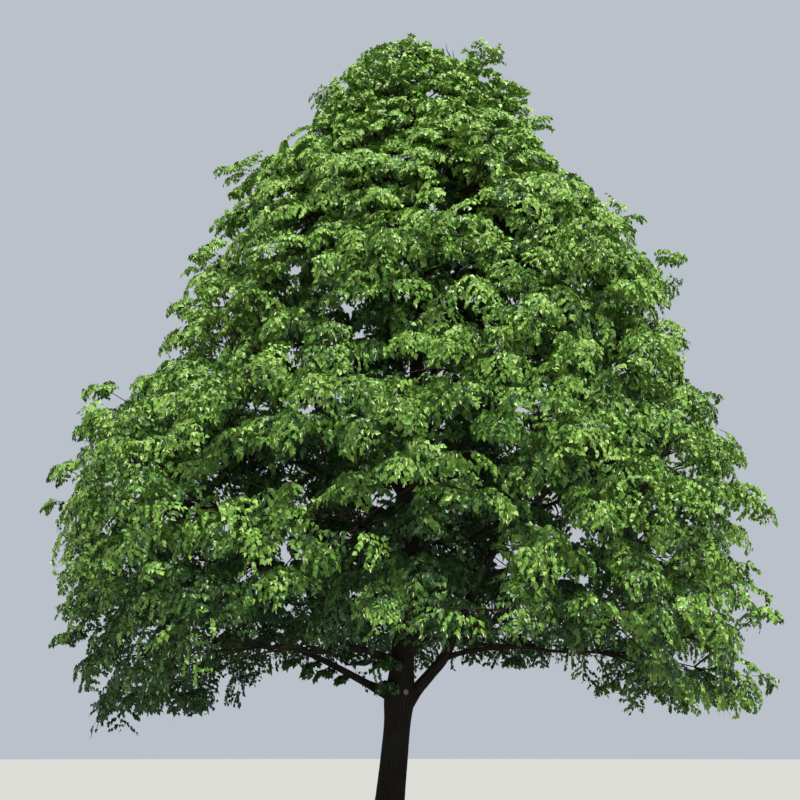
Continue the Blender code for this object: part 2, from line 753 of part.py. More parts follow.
def make_mass(name, twigs, blades, collection, finish):
    """One closed solid of a mass: its stem, joined by one union to its arms, twigs and blades."""
    pieces = bpy.data.collections.new(f"{name}_pieces")
    bpy.context.scene.collection.children.link(pieces)
    mass = object_from(name, twig_mesh(name, twigs[0]), collection, finish)
    for number, twig in enumerate(twigs[1:]):
        object_from(f"{name}_twig_{number}", twig_mesh(f"{name}_twig", twig), pieces)
    for number, blade in enumerate(blades):
        object_from(f"{name}_blade_{number}", blade_mesh(f"{name}_blade", blade), pieces)
    union = mass.modifiers.new("union", "BOOLEAN")
    union.operation = "UNION"
    union.operand_type = "COLLECTION"
    union.collection = pieces
    union.solver = "MANIFOLD"
    joined = bpy.data.meshes.new_from_object(mass.evaluated_get(bpy.context.evaluated_depsgraph_get()))
    joined.name = name
    mass.modifiers.remove(union)
    mass.data = joined
    for piece in list(pieces.objects):
        bpy.data.objects.remove(piece)
    bpy.data.collections.remove(pieces)


def cutter_from(name, mesh, collection):
    """A helper object that cuts others and is left out of the tree."""
    cutter = object_from(name, mesh, collection)
    cutter.hide_render = True
    cutter.display_type = "WIRE"
    return cutter


def cut_by(limb, cutter):
    """Cuts away the end of a limb that lies in what carries it, at the clearance."""
    cut = limb.modifiers.new("seat", "BOOLEAN")
    cut.operation = "DIFFERENCE"
    cut.solver = "EXACT"
    cut.object = cutter


def main():
    """Builds the whole tree."""
    for old in list(bpy.data.objects):
        bpy.data.objects.remove(old)
    rng = random.Random(SEED)
    parts = bpy.data.collections.new("small_leaved_lime")
    cutters = bpy.data.collections.new("cutters")
    bpy.context.scene.collection.children.link(parts)
    bpy.context.scene.collection.children.link(cutters)
    bark, leaf = material(*BARK), material(*LEAF)

    object_from("trunk", trunk_mesh("trunk"), parts, bark)
    trunk_cutter = cutter_from("trunk_cutter", trunk_mesh("trunk_cutter", CLEARANCE), cutters)

    named_hearts = hearts()
    carried = boughs(named_hearts)
    for mass, bough in carried.items():
        resolution = BOUGH_RESOLUTION if bough.name == f"bough_{mass}" else SEEN_RESOLUTION
        limb = object_from(bough.name, limb_mesh(bough.name, bough, resolution), parts, bark)
        if bough.name == "bough_right_fork":
            grown = limb_mesh("fork_cutter", carried["middle_1"], SEEN_RESOLUTION, CLEARANCE)
            cut_by(limb, cutter_from("fork_cutter", grown, cutters))
        else:
            cut_by(limb, trunk_cutter)

    limbs = Limbs(carried)
    all_hearts = list(named_hearts.values())
    shares = [[] for _ in all_hearts]
    for fan in all_fans(rng, all_hearts):
        shares[nearest_heart(fan.site, all_hearts)].append(fan)
    blade_count = 0
    for number, (mass, heart) in enumerate(named_hearts.items()):
        if mass in carried:
            path, tip_radius = carried[mass].path, carried[mass].radii[-1]
            foot = path[-1] + (path[-1] - path[-2]).normalized() * CLEARANCE
        else:
            foot, tip_radius = trunk_middle(TRUNK_TIP) + UP * CLEARANCE, trunk_radius(TRUNK_TIP)
        room = Room(number, all_hearts, limbs)
        twigs, blades = grow_mass(foot, tip_radius, heart, shares[number], room)
        blade_count += len(blades)
        make_mass(f"foliage_{mass}", twigs, blades, parts, leaf)
    print(f"{blade_count} sprays on {len(all_hearts)} masses")


main()
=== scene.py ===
"""A small-leaved lime in full summer leaf: bark in relief on its limbs, and a crown of leafy twigs.

The crown grows on from the tips of the limbs by the same seeded rule as the solids that it stands
for. Stems run on from the boughs to the heart of each mass, arms leave the stems for the fans, and
each fan spreads twigs that arch over and hang. Here the twigs carry side shoots, and the shoots
carry heart-shaped leaves and pale bracts.

Metres, +Z up, in the frame of the solids. Azimuths run anticlockwise from +X, as seen from above.
"""

import logging
import math
import random
from dataclasses import dataclass, field, replace
from enum import Enum
from typing import Self

import bpy
import numpy as np
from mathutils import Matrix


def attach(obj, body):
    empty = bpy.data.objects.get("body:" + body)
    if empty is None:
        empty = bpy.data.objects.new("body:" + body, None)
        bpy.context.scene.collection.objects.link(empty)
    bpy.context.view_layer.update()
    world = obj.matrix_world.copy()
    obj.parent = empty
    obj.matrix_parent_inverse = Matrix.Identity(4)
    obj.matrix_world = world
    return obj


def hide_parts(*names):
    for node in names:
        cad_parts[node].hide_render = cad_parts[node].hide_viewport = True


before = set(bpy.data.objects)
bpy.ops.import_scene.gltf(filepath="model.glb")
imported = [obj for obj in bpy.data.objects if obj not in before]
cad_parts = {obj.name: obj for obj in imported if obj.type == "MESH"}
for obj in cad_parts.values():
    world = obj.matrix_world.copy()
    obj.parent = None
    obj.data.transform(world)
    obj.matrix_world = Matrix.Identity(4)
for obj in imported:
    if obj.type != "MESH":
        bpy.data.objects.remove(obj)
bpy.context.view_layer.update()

log = logging.getLogger("lime")

Array = np.ndarray
Colour = tuple[float, float, float]
Place = tuple[float, float, float]

BODY = "root"
SEED = 23  # the rule's own, as for the solids
DETAIL_SEED = 71  # for what is finer than the solids
UP = np.array((0.0, 0.0, 1.0))
TINY = 1e-6  # added to a way so that it can't vanish
NO_LENGTH = 1e-9  # what is shorter has no direction
FOLIAGE = "foliage"
BARK = "bark"


# ---------------------------------------------------------------- arrays


def unit(vectors: Array) -> Array:
    """Vectors at a length of one, along the last axis."""
    return vectors / np.maximum(np.linalg.norm(vectors, axis=-1, keepdims=True), NO_LENGTH)


def squared(vectors: Array) -> Array:
    """The square of each vector's length."""
    return (vectors * vectors).sum(axis=-1)


def ease(share: Array) -> Array:
    """A share of a way, from 0 to 1, that starts and ends gently: 3s^2 - 2s^3."""
    share = np.clip(share, 0, 1)
    return share * share * (3 - 2 * share)


def bezier(pulls: Array, shares: Array) -> Array:
    """Points on cubic curves: the cubic Bernstein weights of each share, times the four pulls.

    Args:
        pulls: Start, two pulls and end of each curve, (..., 4, 3).
        shares: How far along the curve each point is, (n,).

    Returns:
        The points, (..., n, 3).
    """
    t, s = shares, 1 - shares
    weights = np.stack((s**3, 3 * s * s * t, 3 * s * t * t, t**3), axis=-1)
    return np.einsum("nk,...kd->...nd", weights, pulls)


def spline(points: Array, count: int) -> Array:
    """A smooth path through points, evenly spread over its spans (Catmull-Rom).

    Each span is a cubic whose end slopes are half the way from the point before to the point after.

    Args:
        points: The points to pass through, (n, 3).
        count: How many points the path gets.

    Returns:
        The path, (count, 3).
    """
    ends = np.vstack((2 * points[0] - points[1], points, 2 * points[-1] - points[-2]))
    where = np.linspace(0, len(points) - 1, count)
    span = np.minimum(where.astype(int), len(points) - 2)
    t = (where - span)[:, None]
    before, start, end, after = (ends[span + step] for step in range(4))
    slope_in, slope_out = (end - before) / 2, (after - start) / 2
    return (
        start * (2 * t**3 - 3 * t**2 + 1)
        + slope_in * (t**3 - 2 * t**2 + t)
        + end * (3 * t**2 - 2 * t**3)
        + slope_out * (t**3 - t**2)
    )


def path_lengths(path: Array) -> Array:
    """How far along a path each of its points is."""
    steps = np.linalg.norm(np.diff(path, axis=0), axis=1)
    return np.concatenate(((0.0,), np.cumsum(steps)))


def ring_faces(rings: int, sides: int) -> Array:
    """Triangles between the rings of a tube whose points are numbered ring by ring."""
    ring, side = np.meshgrid(np.arange(rings - 1), np.arange(sides), indexing="ij")
    a = ring * sides + side
    b = ring * sides + (side + 1) % sides
    quads = np.stack((a, b, b + sides, a, b + sides, a + sides), axis=-1)
    return quads.reshape(-1, 3)


def lofted(grid: Array) -> tuple[Array, Array]:
    """A closed skin over rings of points, with a middle point that closes each end.

    Args:
        grid: The rings, (rings, sides, 3), anticlockwise as seen from the far end.

    Returns:
        Points (n, 3) and triangles (m, 3).
    """
    rings, sides, _ = grid.shape
    points = np.vstack((grid.reshape(-1, 3), grid[0].mean(axis=0), grid[-1].mean(axis=0)))
    side = np.arange(sides)
    following = (side + 1) % sides
    foot = np.stack((following, side, np.full(sides, rings * sides)), axis=1)
    last = (rings - 1) * sides
    tip = np.stack((last + side, last + following, np.full(sides, rings * sides + 1)), axis=1)
    return points, np.vstack((ring_faces(rings, sides), foot, tip))


def repeated(points: Array, shape: Array) -> tuple[Array, Array]:
    """Many copies of one small mesh: their points as rows, and the triangles of them all.

    Args:
        points: The points of each copy, (n, corners, 3).
        shape: The triangles of one copy, (m, 3).

    Returns:
        Points (n * corners, 3) and triangles (n * m, 3).
    """
    count, corners, _ = points.shape
    shifts = corners * np.arange(count)[:, None, None]
    return points.reshape(-1, 3), (shape[None] + shifts).reshape(-1, 3)


def tubes(paths: Array, radii: Array, sides: int, across: Array) -> tuple[Array, Array]:
    """Tapering closed tubes, one along each path, that each end in a point.

    A ring is its place on the path plus the radius times (cos a * across + sin a * over), where
    over and across are squared up against the path's direction.

    Args:
        paths: The middles of the rings, (n, rings, 3); the last is the tip.
        radii: The radius of each ring, (n, rings).
        sides: How many sides a tube has.
        across: A direction for each tube that its path doesn't run along, (n, 3).

    Returns:
        Points (p, 3) and triangles (m, 3).
    """
    count, rings, _ = paths.shape
    ways = unit(np.gradient(paths, axis=1))
    over = unit(np.cross(ways, across[:, None, :]))
    square = np.cross(over, ways)
    angles = 2 * np.pi * np.arange(sides) / sides
    spokes = np.cos(angles)[:, None] * square[:, :-1, None] + np.sin(angles)[:, None] * over[:, :-1, None]
    body = paths[:, :-1, None] + radii[:, :-1, None, None] * spokes
    points = np.concatenate((body.reshape(count, -1, 3), paths[:, -1:]), axis=1)
    side = np.arange(sides)
    last = (rings - 2) * sides
    tip = np.stack((last + side, last + (side + 1) % sides, np.full(sides, last + sides)), axis=1)
    inner = np.arange(1, sides - 1)
    foot = np.stack((np.zeros_like(inner), inner + 1, inner), axis=1)
    faces = np.vstack((ring_faces(rings - 1, sides), tip, foot))
    return repeated(points, faces)


def needles(paths: Array, radius: float, across: Array) -> tuple[Array, Array]:
    """Slim closed needles of four faces, each on a three-cornered foot.

    Args:
        paths: Where each starts and ends, (n, 2, 3).
        radius: The radius at its foot.
        across: A direction across each, (n, 3).

    Returns:
        Points and triangles.
    """
    ways = unit(paths[:, 1] - paths[:, 0])
    first = unit(across - (across * ways).sum(axis=1, keepdims=True) * ways)
    second = np.cross(ways, first)
    turns = 2 * np.pi * np.arange(3) / 3
    ring = first[:, None] * np.cos(turns)[:, None] + second[:, None] * np.sin(turns)[:, None]
    points = np.concatenate((paths[:, :1] + radius * ring, paths[:, 1:]), axis=1)
    return repeated(points, np.array(((0, 1, 3), (1, 2, 3), (2, 0, 3), (0, 2, 1))))


def joined(parts: list[tuple[Array, Array]]) -> tuple[Array, Array]:
    """Several pairs of points and triangles as one pair."""
    points, faces, shift = [], [], 0
    for some_points, some_faces in parts:
        points.append(some_points)
        faces.append(some_faces + shift)
        shift += len(some_points)
    return np.vstack(points), np.vstack(faces)


def linked(name: str, data: bpy.types.ID) -> bpy.types.Object:
    """A new object in the scene."""
    made = bpy.data.objects.new(name, data)
    bpy.context.scene.collection.objects.link(made)
    return made


def make_piece(
    name: str,
    points: Array,
    faces: Array,
    materials: list[bpy.types.Material],
    nodes: list[str],
    slot: str,
    tones: Array | None = None,
    smooth: bool = True,
) -> bpy.types.Object:
    """A piece of the tree, made from arrays, that stands for some of the solids.

    Args:
        name: The piece's name.
        points: Its points, (n, 3).
        faces: Its triangles, (m, 3).
        materials: Its materials.
        nodes: The solids that it stands for.
        slot: Not used.
        tones: Which of the materials each triangle wears, or none for the first.
        smooth: Whether it is shaded smooth.

    Returns:
        The object.
    """
    mesh = bpy.data.meshes.new(name)
    mesh.vertices.add(len(points))
    mesh.vertices.foreach_set("co", np.ascontiguousarray(points, np.float32).ravel())
    mesh.loops.add(faces.size)
    mesh.loops.foreach_set("vertex_index", np.ascontiguousarray(faces, np.int32).ravel())
    mesh.polygons.add(len(faces))
    mesh.polygons.foreach_set("loop_start", np.arange(0, faces.size, 3, dtype=np.int32))
    mesh.update(calc_edges=True)
    for material in materials:
        mesh.materials.append(material)
    if tones is not None:
        mesh.polygons.foreach_set("material_index", np.ascontiguousarray(tones, np.int32))
    mesh.polygons.foreach_set("use_smooth", np.full(len(faces), smooth))
    made = linked(name, mesh)
    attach(made, BODY)
    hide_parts(*nodes)
    log.info("%s: %d triangles", name, len(faces))
    return made


# ---------------------------------------------------------------- shader graphs


class Signal:
    """A number that varies over a surface, held as the output socket of a shader node."""

    def __init__(self, graph: "Graph", socket: bpy.types.NodeSocket) -> None:
        """Holds the socket and the graph that it is in."""
        self.graph = graph
        self.socket = socket

    def _maths(self, operation: str, *values: "Signal | float") -> "Signal":
        """A Math node on some values."""
        node = self.graph.node("ShaderNodeMath", {"operation": operation}, dict(enumerate(values)))
        return Signal(self.graph, node.outputs[0])

    def __rsub__(self, other: float) -> "Signal":
        """The other less this."""
        return self._maths("SUBTRACT", other, self)

    def __mul__(self, other: "Signal | float") -> "Signal":
        """This times the other."""
        return self._maths("MULTIPLY", self, other)

    def between(self, low: float, high: float) -> "Signal":
        """0 below low, 1 above high, and an even way between."""
        settings = {"clamp": True}
        inputs = {"Value": self, "From Min": low, "From Max": high}
        node = self.graph.node("ShaderNodeMapRange", settings, inputs)
        return Signal(self.graph, node.outputs["Result"])


class Graph:
    """The node tree of one material, around its Principled shader."""

    def __init__(self, name: str) -> None:
        """Starts a material that has a Principled shader alone."""
        self.material = bpy.data.materials.new(name)
        self.material.use_nodes = True
        self.tree = self.material.node_tree
        self.shader = self.tree.nodes["Principled BSDF"]

    def node(self, kind: str, settings: dict | None = None, inputs: dict | None = None) -> bpy.types.Node:
        """Any shader node.

        Args:
            kind: The node's type.
            settings: Its settings, which are set first.
            inputs: Values or links for its sockets, by name or number.

        Returns:
            The node.
        """
        made = self.tree.nodes.new(kind)
        for key, value in (settings or {}).items():
            setattr(made, key, value)
        for key, value in (inputs or {}).items():
            self.feed(made.inputs[key], value)
        return made

    def feed(self, socket: bpy.types.NodeSocket, value: "Signal | bpy.types.NodeSocket | float") -> None:
        """Links a socket to a signal or another socket, or sets its plain value."""
        if isinstance(value, Signal):
            value = value.socket
        if isinstance(value, bpy.types.NodeSocket):
            self.tree.links.new(value, socket)
        else:
            socket.default_value = value

    def places(self, scale: Place = (1.0, 1.0, 1.0)) -> bpy.types.NodeSocket:
        """Object coordinates, scaled along each axis."""
        coordinates = self.node("ShaderNodeTexCoord").outputs["Object"]
        return self.node("ShaderNodeMapping", None, {"Vector": coordinates, "Scale": scale}).outputs[0]

    def noise(self, places: bpy.types.NodeSocket, scale: float, detail: float = 3.0) -> Signal:
        """Fractal noise from 0 to 1 at a scale, in repeats a metre."""
        inputs = {"Vector": places, "Scale": scale, "Detail": detail}
        return Signal(self, self.node("ShaderNodeTexNoise", None, inputs).outputs["Fac"])

    def attribute(self, name: str) -> Signal:
        """A number that the mesh holds at each point."""
        return Signal(self, self.node("ShaderNodeAttribute", {"attribute_name": name}).outputs["Fac"])

    def mixed(self, share: Signal, first: object, second: object) -> bpy.types.NodeSocket:
        """The first colour where the share is 0, the second where it is 1."""
        inputs = {0: share, 6: self.solid(first), 7: self.solid(second)}
        return self.node("ShaderNodeMix", {"data_type": "RGBA"}, inputs).outputs[2]

    def finish(self, colour: object, roughness: float, specular: float) -> None:
        """Sets the shader's colour, roughness and specular level."""
        self.feed(self.shader.inputs["Base Color"], self.solid(colour))
        self.feed(self.shader.inputs["Roughness"], roughness)
        self.feed(self.shader.inputs["Specular IOR Level"], specular)

    @staticmethod
    def solid(colour: object) -> object:
        """A colour with its alpha, or a link as it is."""
        return (*colour, 1.0) if isinstance(colour, tuple) else colour


# ---------------------------------------------------------------- finishes


@dataclass(frozen=True)
class BarkFinish:
    """Dark fissured bark, with paler worn ridges, blotches of green algae and one pale pruning scar."""

    name: str = "lime_bark"
    # The bark's own dark colours, darkened further as painted shade, so that the trunk and limbs look as dark
    # as they do in the crown's shade.
    fissure: Colour = (0.006, 0.005, 0.004)
    ridge: Colour = (0.023, 0.018, 0.014)
    worn: Colour = (0.044, 0.037, 0.030)
    algae: Colour = (0.028, 0.034, 0.014)
    scar_colour: Colour = (0.30, 0.26, 0.23)
    scar: Place = (0.345, -0.235, 2.365)
    scar_radius: float = 0.05
    roughness: float = 0.92
    specular: float = 0.25
    blotch_scale: float = 3.5
    grain_scale: float = 60.0
    grain_detail: float = 5.0
    grain_shape: Place = (1.0, 1.0, 0.35)  # drawn out along the limb
    ridge_limits: tuple[float, float] = (0.15, 0.8)
    worn_limits: tuple[float, float] = (0.42, 0.75)
    algae_limits: tuple[float, float] = (0.42, 0.62)
    algae_strength: float = 0.7
    scar_edge: float = 0.8  # where the scar starts to fade, in its radius
    bump_strength: float = 0.6
    bump_distance: float = 0.004

    def material(self) -> bpy.types.Material:
        """The finish as a material that reads the bark's relief from the mesh."""
        graph = Graph(self.name)
        places = graph.places()
        relief = graph.attribute("relief")
        blotches = graph.noise(places, self.blotch_scale)
        grain = graph.noise(graph.places(self.grain_shape), self.grain_scale, self.grain_detail)
        colour = graph.mixed(relief.between(*self.ridge_limits), self.fissure, self.ridge)
        colour = graph.mixed((relief * grain).between(*self.worn_limits), colour, self.worn)
        algae = (blotches * relief).between(*self.algae_limits) * self.algae_strength
        colour = graph.mixed(algae, colour, self.algae)
        colour = graph.mixed(self.scar_mask(graph), colour, self.scar_colour)
        inputs = {"Strength": self.bump_strength, "Distance": self.bump_distance, "Height": grain}
        graph.finish(colour, self.roughness, self.specular)
        graph.feed(graph.shader.inputs["Normal"], graph.node("ShaderNodeBump", None, inputs).outputs[0])
        return graph.material

    def scar_mask(self, graph: Graph) -> Signal:
        """1 on the pruning scar, and 0 elsewhere."""
        inputs = {0: graph.places(), 1: self.scar}
        away = graph.node("ShaderNodeVectorMath", {"operation": "DISTANCE"}, inputs)
        distance = Signal(graph, away.outputs["Value"])
        return 1 - distance.between(self.scar_radius * self.scar_edge, self.scar_radius)


@dataclass(frozen=True)
class PlainFinish:
    """One plain base colour, for leaves, bracts, twigs and the floor."""

    name: str
    colour: Colour
    roughness: float = 0.5
    specular: float = 0.4

    def material(self) -> bpy.types.Material:
        """The finish as a material."""
        graph = Graph(self.name)
        graph.finish(self.colour, self.roughness, self.specular)
        return graph.material


class Tone(Enum):
    """The greens that sprays are dealt, from darkest to lightest: which one a spray gets varies at random,
    and the darker ones are also painted shade inside the crown and on its skirts, the lighter ones painted
    sunlight high up and on lit tufts.
    """

    # The two darkest greens are painted shade where the tones are pushed darker.
    DEEP = PlainFinish("leaf_deep", (0.026, 0.080, 0.015), 0.42)
    SHADE = PlainFinish("leaf_shade", (0.064, 0.157, 0.025), 0.42)
    FULL = PlainFinish("leaf_full", (0.107, 0.238, 0.032), 0.45)
    # The two lightest greens are painted sunlight where the tones are pushed lighter.
    FRESH = PlainFinish("leaf_fresh", (0.136, 0.285, 0.038), 0.45)
    YOUNG = PlainFinish("leaf_young", (0.195, 0.360, 0.056), 0.48)


# The twigs' own dark colour, darkened further as painted shade, so that the wood inside the crown stays dark.
TWIG_FINISH = PlainFinish("lime_twig", (0.024, 0.017, 0.012), 0.85, 0.15)
BRACT_FINISH = PlainFinish("lime_bract", (0.56, 0.62, 0.30), 0.6, 0.3)
FLOOR_FINISH = PlainFinish("studio_floor", (0.32, 0.32, 0.31), 0.9, 0.1)


# ---------------------------------------------------------------- the crown's shape


@dataclass(frozen=True)
class Hollow:
    """A dark hollow in the crown's near face, and half round the trunk in its far face too."""

    x: float
    height: float
    half_width: float
    half_height: float


@dataclass(frozen=True)
class Crown:
    """The crown's envelope, its arched underside and its hollows."""

    rows: tuple[Place, ...] = (
        (1.9, 0.55, 4.5),
        (2.6, 0.45, 5.05),
        (3.4, 0.4, 5.25),
        (4.5, 0.3, 5.4),
        (5.5, 0.35, 5.4),
        (6.6, 0.35, 5.05),
        (7.3, 0.5, 4.5),
        (8.0, 0.65, 4.15),
        (9.2, 0.75, 3.8),
        (10.2, 0.6, 3.2),
        (10.9, 0.4, 2.8),
        (11.6, 0.55, 2.2),
        (12.4, 0.65, 1.85),
        (13.0, 0.7, 1.2),
        (13.45, 0.7, 0.1),
    )  # height, how far the middle stands towards +X, and half the width
    arch_height: float = 2.95
    skirt_height: float = 1.95
    arch_left: float = -2.5
    arch_right: float = 3.7
    arch_shoulder: float = 0.5
    growth_foot: float = 2.0
    growth_share: float = 0.72
    fine_width: float = 3.4
    finest: float = 0.8
    lifts: tuple[float, ...] = (0.0, 0.5, 1.0)  # above a point, where its depth is measured
    hollow_depth: float = 1.3
    hollows: tuple[Hollow, ...] = (
        Hollow(-2.0, 5.2, 0.6, 0.3),
        Hollow(-0.9, 5.2, 0.32, 0.26),
        Hollow(0.0, 4.5, 0.8, 0.2),
        Hollow(1.25, 3.9, 0.35, 0.6),
        Hollow(-0.5, 7.6, 0.7, 0.22),
        Hollow(1.1, 8.25, 0.32, 0.22),
        Hollow(1.15, 9.9, 0.32, 0.27),
        Hollow(-1.4, 8.35, 0.32, 0.23),
        Hollow(-2.15, 7.7, 0.36, 0.31),
    )

    def row(self, heights: Array | float) -> tuple[Array, Array]:
        """The crown's middle x and half width at each height."""
        levels, middles, halves = zip(*self.rows)
        return np.interp(heights, levels, middles), np.interp(heights, levels, halves)

    def level(self, height: float) -> tuple[float, float]:
        """The crown's middle x and half width at one height."""
        middle, half = self.row(height)
        return float(middle), float(half)

    def underside(self, x: Array) -> Array:
        """Height of the underside at each x: an arch over the fork, and skirts past it."""
        past = np.maximum(self.arch_left - x, x - self.arch_right)
        share = ease((past + self.arch_shoulder) / (2 * self.arch_shoulder))
        return self.arch_height + (self.skirt_height - self.arch_height) * share

    def depth(self, points: Array) -> Array:
        """How deep each point lies inside the crown, negative outside it.

        It is the least of the distances to the side of the crown, measured at the point's height
        and at two heights above it, to the top and to the underside.
        """
        deepest = np.full(points.shape[:-1], np.inf)
        for lift in self.lifts:
            middle, half = self.row(points[..., 2] + lift)
            side = half - np.hypot(points[..., 0] - middle, points[..., 1])
            deepest = np.minimum(deepest, np.hypot(np.maximum(side, 0), lift) * np.sign(side))
        top = self.rows[-1][0] - points[..., 2]
        return np.minimum.reduce([deepest, top, points[..., 2] - self.underside(points[..., 0])])

    def inset(self, points: Array) -> Array:
        """How far inside the crown's outline each point is, negative outside it.

        It is the distance to the nearest stretch of the outline, from the trunk's side.
        """
        middle, half = self.row(points[..., 2])
        radii = np.hypot(points[..., 0] - middle, points[..., 1])
        places = np.stack((radii, points[..., 2]), axis=-1)
        corners = np.array(self.rows)[:, (2, 0)]
        starts, stretches = corners[:-1], np.diff(corners, axis=0)
        shares = ((places[..., None, :] - starts) * stretches).sum(axis=-1) / (stretches**2).sum(axis=-1)
        away = places[..., None, :] - starts - np.clip(shares, 0, 1)[..., None] * stretches
        nearest = np.linalg.norm(away, axis=-1).min(axis=-1)
        return np.where((radii < half) & (points[..., 2] < self.rows[-1][0]), nearest, -nearest)

    def in_hollow(self, points: Array, grown: float = 1.0) -> Array:
        """True for each point inside a hollow, each of which is an ellipsoid on the crown's face.

        Args:
            points: The points, (..., 3).
            grown: How large the hollows are taken to be, against their own size.

        Returns:
            Whether each point is inside one.
        """
        inside = np.zeros(points.shape[:-1], bool)
        for hollow in self.hollows:
            middle, half = self.level(hollow.height)
            face = math.sqrt(max(half * half - (hollow.x - middle) ** 2, 0.0))
            for side in (-1, 1):
                centre = np.array((middle - side * (hollow.x - middle), side * face, hollow.height))
                reach = np.array((hollow.half_width, self.hollow_depth, hollow.half_height)) * grown
                inside |= squared((points - centre) / reach) < 1
        return inside

    def outward(self, points: Array) -> Array:
        """The way that twigs grow at each point: out from the trunk, and upright at the top."""
        heights = self.growth_foot + self.growth_share * points[..., 2]
        middles = np.stack((self.row(heights)[0], np.zeros_like(heights), heights), axis=-1)
        return unit(points - middles)

    def fineness(self, heights: Array | float) -> Array:
        """How large fans are at each height, against the usual: smaller in the narrow top."""
        return np.clip(self.row(heights)[1] / self.fine_width, self.finest, 1.0)


# ---------------------------------------------------------------- masses


@dataclass(frozen=True)
class Tier:
    """A tier of foliage: where the hearts of its masses stand, and how its boughs leave the trunk."""

    name: str
    height: float
    stagger: float
    masses: int
    first: float
    share: float
    roots: tuple[float, float]
    radius: float
    rise: float


@dataclass(frozen=True)
class Masses:
    """The masses of foliage, each of which fills the space nearer to its heart than to any other."""

    crown: Crown
    tiers: tuple[Tier, ...] = (
        Tier("skirt", 3.1, 0.15, 6, 350, 0.66, (2.75, 3.2), 0.064, 0.45),
        Tier("low", 4.95, 0.3, 6, 20, 0.68, (3.55, 4.2), 0.066, 0.75),
        Tier("middle", 6.85, 0.35, 5, 8, 0.64, (4.7, 5.4), 0.06, 0.8),
        Tier("upper", 8.75, 0.35, 4, 335, 0.58, (6.4, 7.1), 0.052, 0.85),
        Tier("high", 10.55, 0.3, 3, 15, 0.5, (8.5, 9.1), 0.042, 0.9),
    )
    top_name: str = "top"
    top_height: float = 12.3
    flattening: float = 1.15  # heights count for this much more than widths

    def hearts(self, top_x: float) -> dict[str, Array]:
        """{mass: the middle of it}, tier by tier, with the top mass last.

        Args:
            top_x: Where the trunk's tip stands, under the top mass.

        Returns:
            The hearts by name.
        """
        found = {}
        for tier in self.tiers:
            for number in range(tier.masses):
                height = tier.height + (tier.stagger if number % 2 else -tier.stagger)
                middle, half = self.crown.level(height)
                azimuth = math.radians(tier.first + 360 * number / tier.masses)
                offset = np.array((math.cos(azimuth), math.sin(azimuth), 0.0)) * (tier.share * half)
                found[f"{tier.name}_{number + 1}"] = np.array((middle, 0.0, height)) + offset
        found[self.top_name] = np.array((top_x, 0.0, self.top_height))
        return found

    def stretched(self, points: Array) -> Array:
        """Points or ways whose heights count for more."""
        return points * np.array((1.0, 1.0, self.flattening))

    def owners(self, points: Array, hearts: Array) -> Array:
        """The number of the heart whose space holds each point."""
        return np.argmin(squared(self.stretched(points[:, None] - hearts[None])), axis=1)

    def inside_by(self, points: Array, owners: Array, hearts: Array) -> Array:
        """How far inside the space of its own heart each point is.

        The border with another heart is the plane half way to it, once heights are stretched.
        """
        flat, flat_hearts = self.stretched(points), self.stretched(hearts)
        own = flat_hearts[owners]
        ways = flat_hearts[None] - own[:, None]
        lengths = np.linalg.norm(ways, axis=-1)
        lengths[lengths < NO_LENGTH] = np.inf
        past = ((flat - own)[:, None] * ways).sum(axis=-1) / lengths
        past = np.where(np.isfinite(lengths), past - lengths / 2, -np.inf)
        return -past.max(axis=1)


# ---------------------------------------------------------------- limbs


@dataclass(frozen=True)
class Limb:
    """A bough: its name, the points of its path and its radius at each."""

    name: str
    path: Array
    radii: Array


@dataclass(frozen=True)
class SeenBough:
    """A bough that shows under the crown, and the places that shape its curve."""

    name: str
    mass: str
    root: Place
    first: Place
    second: Place
    before: Place
    short: float
    points: int
    radii: tuple[float, float]
    foot: tuple[Place, ...] = ()


